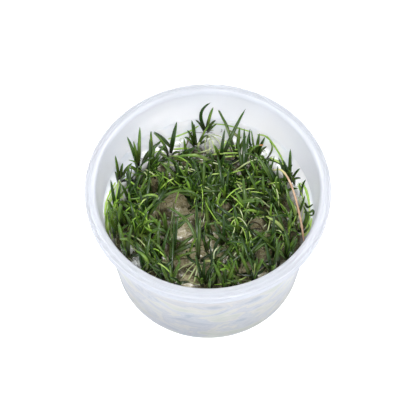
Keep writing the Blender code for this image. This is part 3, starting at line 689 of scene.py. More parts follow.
def sowSprigs(rosettes, kept):
    dice = random.Random(extraLeaves["seed"])
    sprigs = []
    for number, rosette in enumerate(rosettes):
        same = Rosette(rosette.crown.x, rosette.crown.y, True, number)
        taken = [math.degrees(math.atan2(leaf.outward.y, leaf.outward.x)) for leaf in kept
                 if leaf.rosette is rosette]
        for _ in range(extraLeaves["sparseInner" if number in extraLeaves["sparse"] else "inner"]):
            bearing = freeBearing(dice, taken)
            taken.append(bearing)
            sprigs.append(smallLeaf(dice, same, bearing, "inner"))
    crowns = [rosette.crown.copy() for rosette in rosettes]
    small = 0
    for _ in range(extraLeaves["tries"]):
        x, y = scatter(dice, extraLeaves["sownTo"])
        crowded = any(math.hypot(x - c.x, y - c.y) < extraLeaves["smallGap"] for c in crowns)
        if crowded or onBareGel(x, y) or pastRear(x, y, extraLeaves["rearRoom"]):
            continue
        seedling = Rosette(x, y, True)
        crowns.append(seedling.crown)
        small += 1
        for _ in range(dice.randint(*extraLeaves["smallLeaves"])):
            spread = extraLeaves["spread"] * dice.choice(extraLeaves["spreads"])
            sprigs.append(smallLeaf(dice, seedling, dice.gauss(extraLeaves["lean"], spread), "small"))
        if small == extraLeaves["seedlings"]:
            break
    print("seedlings", small)
    return sprigs


def stays(leaf):
    # drops a small leaf that hides bare gel or a tuft from above the front, that leaves the growth, or
    # that was pushed out of shape
    for _, _, t, place, radius in samples(leaf, growth["coarse"]):
        if onBareGel(place.x, hiddenY(place)):
            return False
        if math.hypot(place.x, place.y) > extraLeaves["reach"] or place.z > growth["ceilingAtWall"]:
            return False
    sag = leaf.middle - (leaf.rosette.crown + leaf.tip) * 0.5
    return sag.length < extraLeaves["curl"] * leaf.length


def alongRoutes(rows):
    # the radius and points of each row, as places that leaves keep clear of
    return [(place, radius) for radius, points in rows for place in smoothRoute(points, growth["routeStep"])]


def growSprigs(rosettes, leaves, fixed):
    sprigs = sowSprigs(rosettes, leaves)
    still = fixed + alongRoutes((row[0] * 0.5, row[4]) for row in looseLeafTable)
    still += alongRoutes(row[1:] for row in thinStemTable)
    still += [(place, radius) for leaf in leaves
              for _, _, t, place, radius in samples(leaf, growth["coarse"]) if t > growth["baseShare"]]
    easeApart(sprigs, [], still, extraLeaves["passes"])
    return [leaf for leaf in sprigs if stays(leaf)]


def grow():
    fixed = alongRoutes(row[1:] for row in runnerTable)
    for x, y, radius, height in tuftTable:
        for share in growth["tuftShares"]:
            fixed.append((Vector((x, y, gelShape["top"] + gelShape["gap"] + height * share)), radius))
    rosettes, leaves = sow()
    easeApart(leaves, rosettes, fixed, growth["passes"])
    kept = clearLeaves(leaves, rosettes, fixed)
    return rosettes, kept, growSprigs(rosettes, kept, fixed)


# plants: every leaf, root and fibre is a copy of a straight blade or rod, bent along its own line

leafLook = dict(sides=6, rings=9, longRings=18, flatSide=0.34, twist=0.45, slim=0.7, foot=0.62,
                leastWidth=0.1, tipWidth=0.02, veins=9.0)
skinSlot = dict(green=0, pale=1, brown=2, bright=3)


def straightRod(name, sides, rings):
    # 1 long and 1 in radius
    bpy.ops.mesh.primitive_cylinder_add(vertices=sides, radius=1.0, depth=1.0, location=(0, 0, 0.5))
    obj = bpy.context.object
    obj.name = obj.data.name = name
    bpy.ops.object.transform_apply(location=True, rotation=True, scale=True)
    bpy.ops.object.mode_set(mode="EDIT")
    pick("EDGE", lambda edge: abs(edge.verts[0].co.z - edge.verts[1].co.z) > 0.5)
    bpy.ops.mesh.subdivide(number_cuts=rings - 1)
    bpy.ops.object.mode_set(mode="OBJECT")
    return obj


def leafBlade(rings):
    # a rod with its tip drawn to a point, flat above and round below
    obj = straightRod(f"leafBlade{rings}", leafLook["sides"], rings)
    bpy.ops.object.mode_set(mode="EDIT")
    pick("VERT", lambda vert: vert.co.z > 0.999)
    bpy.ops.mesh.merge(type="CENTER")
    pick("VERT", lambda vert: vert.co.y > 0.05)
    bpy.ops.transform.resize(value=(1.0, leafLook["flatSide"], 1.0), center_override=(0, 0, 0))
    bpy.ops.object.mode_set(mode="OBJECT")
    return obj


class Bunch:
    # copies of a blade or rod, gathered into one piece
    def __init__(self, name):
        self.name = name
        self.shape = bmesh.new()
        self.marks = self.shape.loops.layers.float_color.new("growthMarks")
        self.lines = self.shape.loops.layers.uv.new("UVMap")

    def add(self, model, line, radius, facing=up, marks=(0.5, 0.0, 0.0, 1.0), slot=0, twist=0.0):
        # line and radius are functions of t; facing is the side that the flat face looks to
        first = len(self.shape.verts)
        faces = len(self.shape.faces)
        self.shape.from_mesh(model.data)
        self.shape.verts.ensure_lookup_table()
        self.shape.faces.ensure_lookup_table()
        heights = {}
        frames = {}
        for vert in self.shape.verts[first:]:
            t = min(1.0, max(0.0, vert.co.z))
            key = round(t, 4)
            if key not in frames:
                along = (line(min(1.0, t + 0.01)) - line(max(0.0, t - 0.01))).normalized()
                side = along.cross(facing).normalized()
                face = side.cross(along).normalized()
                turn = Matrix.Rotation(twist * t, 3, along)
                frames[key] = (line(t), turn @ side, turn @ face, radius(t))
            centre, side, face, wide = frames[key]
            heights[vert] = (vert.co.x, t)
            vert.co = (centre + side * (vert.co.x * wide) + face * (vert.co.y * wide)) * mm
        for polygon in self.shape.faces[faces:]:
            polygon.material_index = slot
            polygon.smooth = True
            for loop in polygon.loops:
                across, t = heights[loop.vert]
                loop[self.marks] = marks
                loop[self.lines].uv = (0.5 + 0.5 * across, t)

    def toObject(self, materials):
        mesh = bpy.data.meshes.new(self.name)
        bmesh.ops.recalc_face_normals(self.shape, faces=self.shape.faces)
        self.shape.to_mesh(mesh)
        self.shape.free()
        for material in materials:
            mesh.materials.append(material)
        obj = bpy.data.objects.new(self.name, mesh)
        bpy.context.scene.collection.objects.link(obj)
        return obj


def greenLeaf():
    # fresh leaf blade: wet gloss over deep green, light at the sheath and edges, yellow-green when young
    material, tree, shader = newMaterial("freshShoreweedLeaf")
    where = addNode(tree, "TexCoord").outputs["Object"]
    along = addNode(tree, "UVMap", {"uv_map": "UVMap"})
    across, height = addNode(tree, "SeparateXYZ", {}, {"Vector": along}).outputs[:2]
    marks = addNode(tree, "Attribute", {"attribute_name": "growthMarks"})
    bright, dry, pale = addNode(tree, "SeparateColor", {}, {"Color": marks}).outputs[:3]
    deep = addNode(tree, "ValToRGB", {"stops": ((0.0, "#b4c46a"), (0.1, "#7fa04a"), (0.24, "#2c591c"),
                                                (0.7, "#123012"), (1.0, "#3a6a22"))}, {"Fac": height})
    fresh = addNode(tree, "ValToRGB", {"stops": ((0.0, "#ecf0c0"), (0.14, "#d4e87c"), (0.45, "#b2d850"),
                                                 (0.85, "#8cc43c"), (1.0, "#bcdc68"))}, {"Fac": height})
    mixed = addNode(tree, "Mix", mixColour, {0: bright, 6: deep, 7: fresh}).outputs[2]
    # veins run along the blade, about 0.25 mm apart, drawn a little coarser than real
    stretched = addNode(tree, "Mapping", {"Scale": (leafLook["veins"], 1.5, 1.0)}, {"Vector": along})
    veins = addNode(tree, "TexNoise", {"Scale": 1.0, "Detail": 2.0}, {"Vector": stretched})
    veinShade = addNode(tree, "ValToRGB", {"stops": ((0.4, 0.25), (0.6, 1.0))}, {"Fac": veins})
    veined = addNode(tree, "Mix", multiply, {6: mixed, 7: veinShade}).outputs[2]
    # blotches of 3 mm, darker and duller
    blotches = addNode(tree, "TexNoise", {"Scale": cells(3.33333), "Detail": 3.0}, {"Vector": where})
    blotchShade = addNode(tree, "ValToRGB", {"stops": ((0.35, 0.45), (0.6, 1.0))}, {"Fac": blotches})
    blotched = addNode(tree, "Mix", multiply, {6: veined, 7: blotchShade}).outputs[2]
    # the thin edges are painted lighter, as painted light coming through them and painted highlight, and the
    # midrib is a lighter line, partly its own colour and partly a painted highlight
    edgeLightAndMidrib = addNode(tree, "ValToRGB", {"stops": ((0.0, 0.6), (0.16, 0.08), (0.46, 0.0), (0.5, 0.35),
                                               (0.54, 0.0), (0.84, 0.08), (1.0, 0.6))}, {"Fac": across})
    edged = addNode(tree, "Mix", {**mixColour, 7: "#88bb42"}, {0: edgeLightAndMidrib, 6: blotched}).outputs[2]
    # low in the growth the blades are painted dark, as painted shade where little light gets in between the
    # leaves
    level = addNode(tree, "SeparateXYZ", {}, {"Vector": where}).outputs["Z"]
    paintedShadeLow = addNode(tree, "MapRange", {"From Min": 46.0 * mm, "From Max": 54.5 * mm, "To Min": 0.03},
                      {"Value": level})
    shaded = addNode(tree, "Mix", multiply, {6: edged, 7: paintedShadeLow}).outputs[2]
    # a dry tip is brown, and an old leaf is pale all over
    tip = addNode(tree, "MapRange", {"From Min": 0.82, "From Max": 0.94}, {"Value": height})
    tipDry = addNode(tree, "Math", {"operation": "MULTIPLY"}, {0: tip, 1: dry})
    tipped = addNode(tree, "Mix", {**mixColour, 7: "#d08a58"}, {0: tipDry, 6: shaded}).outputs[2]
    faded = addNode(tree, "Mix", {**mixColour, 7: "#cdd28a"}, {0: pale, 6: tipped}).outputs[2]
    bump = addNode(tree, "Bump", {"Distance": 0.06 * mm}, {"Height": veins})
    rough = addNode(tree, "ValToRGB", {"stops": ((0.3, 0.14), (0.7, 0.26))}, {"Fac": blotches})
    wire(shader, {"IOR": 1.48}, {"Base Color": faded, "Normal": bump, "Roughness": rough})
    return material


def rootSkin(name, dark, middle, light):
    # root in wet gel: off-white and slightly clear when young, brown and dull when old, in 3 mm patches
    material, tree, shader = newMaterial(name)
    where = addNode(tree, "TexCoord").outputs["Object"]
    patches = addNode(tree, "TexNoise", {"Scale": cells(3.0303), "Detail": 3.0}, {"Vector": where})
    colour = addNode(tree, "ValToRGB", {"stops": ((0.3, dark), (0.5, middle), (0.7, light))},
                     {"Fac": patches})
    rough = addNode(tree, "ValToRGB", {"stops": ((0.3, 0.3), (0.7, 0.5))}, {"Fac": patches})
    wire(shader, {}, {"Base Color": colour, "Roughness": rough})
    return material


def bladeWidth(width, t):
    # slimmer than the plain solid's leaf, and nearly parallel up to its last third
    if t > 0.999:
        return leafLook["tipWidth"]
    taper = min(1.0, leafLook["foot"] + 1.6 * t) * (1.0 - min(t, 0.985) ** 3) ** 0.75
    return 0.5 * width * leafLook["slim"] * taper + leafLook["leastWidth"]


def addLeaf(bunch, blade, leaf, marks, dice):
    twist = dice.uniform(-leafLook["twist"], leafLook["twist"])
    bunch.add(blade, leaf.at, lambda t: bladeWidth(leaf.width, t), up - leaf.outward, marks, twist=twist)


def leafMarks(dice, full=False):
    # red: how young and bright; green: how dry the tip; blue: how pale all over
    if full:
        return (dice.choice((0.0, 0.0, 0.1, 0.25, 0.4)), 0.0, 0.0, 1.0)
    return (dice.choice((0.0, 0.0, 0.0, dice.uniform(0.1, 0.6), dice.uniform(0.6, 1))), 0.0, 0.0, 1.0)


def followed(points):
    # a line that runs through the points as t goes from 0 to 1
    route = smoothRoute(points, 0.5)

    def line(t):
        place = t * (len(route) - 1)
        k = min(int(place), len(route) - 2)
        return route[k].lerp(route[k + 1], place - k)
    return line


def widest(points):
    return max(math.hypot(p.x, p.y) for p in points)


# short roots that lie on the gel round a crown, in mm

rootLook = dict(long=(3.0, 8.0), swing=(-2.0, 2.0), thick=(0.1, 0.2), pale=0.35, start=0.9, middle=0.45,
                end=0.05, wallRoom=1.0)


def addRoots(bunch, root, crown, dice, count):
    for _ in range(count):
        angle = dice.uniform(0, 2 * math.pi)
        outward = Vector((math.cos(angle), math.sin(angle), 0.0))
        long = dice.uniform(*rootLook["long"])
        side = Vector((-outward.y, outward.x, 0.0)) * dice.uniform(*rootLook["swing"])
        start = Vector((crown.x, crown.y, gelShape["top"] + rootLook["start"]))
        middle = start + outward * long * 0.5 + side
        end = start + outward * long + side * 0.3
        middle.z = gelShape["top"] + rootLook["middle"]
        end.z = gelShape["top"] + rootLook["end"]
        limit = innerRadius(gelShape["top"]) - rootLook["wallRoom"]
        for point in (middle, end):
            out = math.hypot(point.x, point.y)
            if out > limit:
                point.x *= limit / out
                point.y *= limit / out
        thick = dice.uniform(*rootLook["thick"])
        skin = "pale" if dice.random() < rootLook["pale"] else "brown"
        bunch.add(root, lambda t: archPoint(start, middle, end, t), lambda t: thick * (1.0 - 0.6 * t),
                  slot=skinSlot[skin])


# single leaves that stand out: width, how young, dry tip, how pale, then points from foot to tip
looseLeafTable = (
    (1.9, 0.2, 0, 0, ((-38.7, -10.3, 46.5), (-40.2, -7.5, 50), (-41.3, -5.8, 52))),
    (1.2, 0.9, 0, 0, ((-39, -5.2, 50), (-36.5, -4.4, 52), (-34.8, -4, 53))),
    (1.1, 0.85, 0, 0, ((-26, -6.4, 47), (-23.3, -4.9, 49.5), (-21.2, -3.2, 51.5), (-20.4, -1.2, 52.5),
         (-21.2, 0.6, 53.5), (-24.6, 0.6, 54), (-28.7, -0.7, 53.5), (-32.2, -0.8, 53))),
    (1.5, 1, 0, 0, ((-29, -13.3, 47), (-28, -12.5, 51), (-25.6, -11.7, 53.5), (-22.8, -11.8, 54.5),
         (-20.4, -11.1, 54.5))),
    (1.5, 0.1, 0, 0, ((-24.9, -16.8, 50), (-23.2, -15.8, 52.5), (-20.7, -15.5, 54.5), (-18.3, -15.9, 54.5),
         (-16.7, -16.5, 53))),
    (1.9, 0.15, 0, 0, ((-16.8, -13.8, 47), (-13.1, -12.1, 49), (-9.5, -10.4, 51))),
    (2, 0.3, 0, 0, ((-15.5, -22.7, 46.5), (-11, -21.7, 49), (-6.1, -20, 51))),
    (1.1, 0.95, 0, 0, ((-15.5, -25.9, 46.5), (-12.2, -25.1, 48.5), (-9, -24.5, 50), (-4.1, -23.7, 51))),
    (1.5, 0.6, 0, 0, ((-29.6, -21.3, 50), (-32, -19.5, 53), (-35.9, -19.8, 54))),
    (1.6, 0.7, 0, 0, ((-25.1, -30.9, 47.5), (-24.2, -29.5, 51), (-25.7, -27.2, 53.5), (-29.3, -25, 54.5))),
    (0.8, 1, 0, 0, ((-39.7, -16.6, 47), (-41.4, -12.6, 50), (-41.3, -7.2, 52), (-39.8, -2.6, 53))),
    (0.8, 0.8, 0, 0, ((-38.9, -15.6, 47), (-40, -11.7, 50), (-39.2, -7.5, 52.5), (-37.3, -3.6, 53))),
    (0.7, 0.9, 0, 0, ((-36.9, -14.7, 47), (-38, -11.7, 50), (-39.6, -9.1, 52), (-41.1, -7, 52.5))),
    (0.8, 0.6, 0, 0, ((-35.3, -8.8, 48), (-36.9, -5.7, 51), (-38.9, -4.9, 52), (-40.1, -6.5, 51.5))),
    (1.8, 0.2, 0, 0, ((-27.6, 19.9, 47), (-24.4, 23.4, 50.5), (-19.2, 27.6, 53))),
    (1.5, 0.1, 0, 0, ((-15.8, 27.2, 48), (-19.3, 29.9, 51), (-22.8, 31.7, 53))),
    (1.2, 0.1, 0, 0, ((-4.8, 28.6, 47), (-5.6, 31.9, 50), (-5.8, 35.8, 52.5))),
    (1.5, 0.55, 0, 0, ((2.8, 17, 47.5), (1.6, 17.6, 51), (-3.4, 19.2, 54), (-9.2, 19.6, 54),
         (-14.3, 19.3, 53))),
    (1.2, 0.6, 0, 0, ((8.8, 34.7, 47), (7.8, 37.5, 49), (4.2, 43, 52.5))),
    (1.2, 1, 0, 0.2, ((13.9, 32.2, 47), (11.4, 33.6, 48), (8.8, 35, 49))),
    (1.2, 0, 0, 0, ((8.7, 17.2, 47.5), (11.2, 19.5, 48.5), (13.7, 21.9, 49.5))),
    (1.1, 0.2, 0, 0, ((-0.5, 33.7, 47), (-0.1, 31.1, 48), (-3.5, 28.3, 48.5), (-4.3, 25.7, 48))),
    (1.2, 0.4, 1, 0, ((15.9, 19.8, 48), (16.6, 21.4, 51), (18.7, 23.3, 53.5), (20.8, 24, 54.5),
         (23.2, 23.9, 55))),
    (1, 0.1, 0, 0, ((40, 0.2, 48), (41, -2.6, 49.5), (43.2, -2, 51))),
    (1, 0.15, 0, 0, ((39.4, -4.1, 48), (41.7, -5.2, 50), (43.1, -4.5, 50.5), (42.8, -6.3, 49.5),
         (39.8, -5.3, 48.5))),
    (2.2, 0.85, 0, 0, ((32.1, 2.9, 46.5), (28.4, 7.4, 51.5), (28.8, 10, 54))),
    (1.6, 0.1, 0, 0, ((31.4, 1.9, 47.5), (25.9, 4.1, 51), (20.9, 4.7, 52.5))),
    (2.2, 0.2, 0, 0, ((10.2, -1, 47.5), (12.2, -1.5, 51), (17.5, -1.5, 53.5), (21.6, -2, 53.5),
         (22.4, -4.4, 52))),
    (1.4, 1, 0, 0, ((24.2, -3.8, 47.5), (20.8, -5.5, 50.5), (17.5, -5.6, 52.5), (13.8, -6.4, 53))),
    (1.5, 1, 0, 0.4, ((32.6, -14.7, 47), (29.6, -12.8, 52), (27.1, -11.5, 54), (23.8, -10.2, 55))),
    (1.2, 0.9, 0, 0, ((36.4, -9.4, 47.5), (35.1, -4.4, 52), (33, -0.7, 54.5))),
    (1, 0.4, 0, 0, ((30.2, -12.9, 47), (29.7, -9.4, 51), (26.7, -5.7, 53.5))),
    (1.3, 1, 0, 0.5, ((-1.7, -26.2, 47), (0.7, -27.4, 49.5), (2.7, -28.5, 49))),
    (1.7, 0, 0, 0, ((11.3, -17.7, 46.5), (9.7, -13.8, 50.5), (5.6, -10.3, 53.5))),
    (1.6, 0.1, 0, 0, ((10.1, -20, 46.5), (6, -17, 50.5), (1.9, -15.3, 52.5))),
    (1.7, 0.1, 0, 0, ((12.9, -28.6, 46.5), (11.6, -27.9, 49.5), (7.6, -24.2, 53))),
    (2, 0, 0, 0, ((13.7, -24.8, 47), (19.3, -21.1, 50.5), (22.1, -18.3, 53))),
    (1.6, 0.3, 0, 0, ((26.3, -21.2, 47), (23.8, -18.7, 51), (19.3, -16.1, 54))),
    (2.4, 0.75, 0, 0, ((13, -12.9, 47), (11.7, -10.4, 51), (10.5, -6.4, 54))),
    (1.3, 0.6, 0, 0.3, ((18, -34.3, 47), (18.3, -32.2, 51), (18.9, -30.1, 54))),
    (2.3, 0.65, 0, 0, ((32.8, -23.4, 47), (33.4, -21.9, 51), (34.6, -20.2, 54))),
)


def makePlantlets(rosettes, leaves, sprigs, blade, root, skins):
    dice = random.Random(extraLeaves["seed"])
    for number, rosette in enumerate(rosettes):
        bunch = Bunch(f"plantlet{number + 1:02d}")
        for leaf in leaves + sprigs:
            if leaf.rosette is rosette or leaf.rosette.number == number:
                addLeaf(bunch, blade, leaf, leafMarks(dice, leaf.rosette is rosette), dice)
        addRoots(bunch, root, rosette.crown, dice, 4)
        finishPiece(bunch.toObject(skins), "shoreweed_leaf", f"plantlet_{number + 1:02d}")
    bunch = Bunch("seedlings")
    rooted = set()
    for leaf in sprigs:
        if leaf.rosette.number is None:
            addLeaf(bunch, blade, leaf, leafMarks(dice), dice)
            if id(leaf.rosette) not in rooted:
                rooted.add(id(leaf.rosette))
                addRoots(bunch, root, leaf.rosette.crown, dice, 2)
    finishPiece(bunch.toObject(skins), "shoreweed_leaf")
    return dice


def makeSingleLeaves(dice, longBlade, skins):
    bunch = Bunch("singleLeaves")
    for width, bright, dry, pale, points in looseLeafTable:
        line = followed(points)
        ends = line(1.0) - line(0.0)
        facing = up - Vector((ends.x, ends.y, 0.0)).normalized() * 0.5
        bunch.add(longBlade, line, lambda t: bladeWidth(width / leafLook["slim"], t), facing,
                  (bright, dry, pale, 1.0), twist=dice.uniform(-0.3, 0.3))
    finishPiece(bunch.toObject(skins), "shoreweed_leaf")


# long leaves lying low between the rosettes, upright ones where the growth is dense, and pale strands

tangleLook = dict(seed=14, reach=38.0, margin=0.8, past=1.5, twist=0.8,
                  lying=150, long=(12, 26), width=(0.8, 1.7), low=(0.6, 4.5), tilt=(0.05, 0.55), bend=0.5,
                  upright=160, tries=12000, uprightReach=40.0, gap=1.8, tall=(9, 14), tallWidth=(0.9, 1.8),
                  lean=(0.1, 0.9), droop=(1.0, 1.6), facing=(95, 80),
                  strands=90, strandLong=(9, 22), strandHeight=(3, 8.5), strandThick=(0.22, 0.4), over=0.06)
# where it is dense: x, y, half width, half depth
denseGrowth = ((-28, -8, 11, 25), (-3, 13, 24, 12), (28, 4, 10, 15), (4, -33, 26, 6), (25, -20, 9, 9))


def covers(points):
    # true where a leaf would stand outside the growth or hide bare gel
    return any(onBareGel(p.x, hiddenY(p), tangleLook["margin"]) or pastRear(p.x, hiddenY(p)) for p in points)


def wander(place, turn, bend, long, heights):
    # points that curve over the gel, each at its own height
    points = [place]
    for height in heights:
        place = place + Vector((math.cos(turn), math.sin(turn), 0.0)) * long / len(heights)
        place.z = height
        turn += bend
        points.append(place)
    return points


def layLeaves(bunch, blade, dice):
    made = 0
    while made < tangleLook["lying"]:
        x, y = scatter(dice, tangleLook["reach"])
        place = Vector((x, y, gelShape["top"] + dice.uniform(*tangleLook["low"])))
        turn, bend = dice.uniform(0, 2 * math.pi), dice.uniform(-1, 1) * tangleLook["bend"]
        long, tilt = dice.uniform(*tangleLook["long"]), dice.uniform(*tangleLook["tilt"])
        points = [place]
        for k in range(4):
            slope = tilt * (1.5 - 0.6 * k)       # it rises, then sinks at its tip
            place = place + Vector((math.cos(turn), math.sin(turn), slope)).normalized() * long / 4
            turn += bend
            points.append(place)
        if not covers(points) and widest(points) < tangleLook["reach"] + tangleLook["past"]:
            made += 1
            wide = dice.uniform(*tangleLook["width"]) / leafLook["slim"]
            marks = (dice.choice((0.0, 0.0, 0.2, 0.6)), 0.0, 0.0, 1.0)
            bunch.add(blade, followed(points), lambda t: bladeWidth(wide, t), up, marks,
                      twist=dice.uniform(-tangleLook["twist"], tangleLook["twist"]))


def raiseLeaves(bunch, blade, dice):
    feet = []
    for _ in range(tangleLook["tries"]):
        x, y, wideness, depth = dice.choice(denseGrowth)
        angle, out = dice.uniform(0, 2 * math.pi), math.sqrt(dice.random())
        foot = Vector((x + out * wideness * math.cos(angle), y + out * depth * math.sin(angle),
                       gelShape["top"] + 0.5))
        if any((foot - other).length < tangleLook["gap"] for other in feet):
            continue
        turn, lean = math.radians(dice.gauss(*tangleLook["facing"])), dice.uniform(*tangleLook["lean"])
        outward = Vector((math.cos(turn), math.sin(turn), 0.0))
        tall = dice.uniform(*tangleLook["tall"])
        points = [foot, foot + up * tall * 0.5 + outward * tall * lean * 0.3,
                  foot + (up + outward * lean * dice.uniform(*tangleLook["droop"])).normalized() * tall]
        if widest(points) < tangleLook["uprightReach"] and not covers(points):
            feet.append(foot)
            wide = dice.uniform(*tangleLook["tallWidth"]) / leafLook["slim"]
            bunch.add(blade, followed(points), lambda t: bladeWidth(wide, t), up - outward, leafMarks(dice),
                      twist=dice.uniform(-tangleLook["twist"], tangleLook["twist"]))
        if len(feet) == tangleLook["upright"]:
            break
    print("upright leaves", len(feet))


def archStrands(bunch, root, dice):
    # stolons and old leaf stalks that arch between the leaves
    made = 0
    while made < tangleLook["strands"]:
        x, y = scatter(dice, tangleLook["reach"])
        low = gelShape["top"] + 1.5
        top = low + dice.uniform(*tangleLook["strandHeight"])
        turn, bend = dice.uniform(0, 2 * math.pi), dice.uniform(-0.5, 0.5)
        long = dice.uniform(*tangleLook["strandLong"])
        heights = [low + (top - low) * share for share in (0.6, 1.0, 0.9, 0.4)]
        points = wander(Vector((x, y, low)), turn, bend, long, heights)
        stands = dice.random() < tangleLook["over"] or not covers(points)
        if stands and widest(points) < tangleLook["reach"] + tangleLook["past"]:
            made += 1
            thick = dice.uniform(*tangleLook["strandThick"])
            bunch.add(root, followed(points), lambda t: thick * (1.0 - 0.4 * t),
                      slot=skinSlot[dice.choice(("pale", "bright", "bright"))])


def makeTangle(blade, root, skins):
    dice = random.Random(tangleLook["seed"])
    bunch = Bunch("tangledLeaves")
    layLeaves(bunch, blade, dice)
    raiseLeaves(bunch, blade, dice)
    archStrands(bunch, root, dice)
    finishPiece(bunch.toObject(skins), "shoreweed_leaf")


# runners, dry strand and thin stems

# stolons: node, radius and the points that each runs through
runnerTable = (
    ("runner_rear_left", 0.45, ((-17, 32.4, 45.8), (-12.5, 34, 46), (-7.5, 36.4, 46), (-4, 38.8, 46.2))),
    ("runner_rear", 0.4, ((1.6, 40, 46), (7.5, 39.2, 46.2), (13, 37.6, 46.2), (18.5, 36, 45.8))),
    ("runner_rear_right", 0.5, ((21, 34.4, 46.2), (24, 33.6, 46.6), (26.6, 31, 46.6), (30, 25.2, 46),
                                (32.2, 19.8, 45.8))),
    ("runner_right", 0.55, ((38.4, 10.5, 46.5), (40.6, 6.8, 48), (41.6, 0.5, 49), (41.6, -6.5, 48.6),
                            (40.6, -12, 46.5))),
    ("runner_left", 0.55, ((-39, 4.5, 47.5), (-41, -2, 48.5), (-41.6, -9, 48), (-40.4, -15, 46.2))),
    ("runner_front_left", 0.5, ((-38.4, 8.5, 50.5), (-40.2, 4, 51), (-41.8, -1.5, 51.2), (-42.2, -7, 51))),
    ("dry_strand", 0.6, ((27, 13, 53), (30.2, 12.4, 54), (33, 8, 54.6), (35, 2, 54.5), (36.6, -5, 54),
                         (38, -12, 52), (39, -18, 48.5))),
)

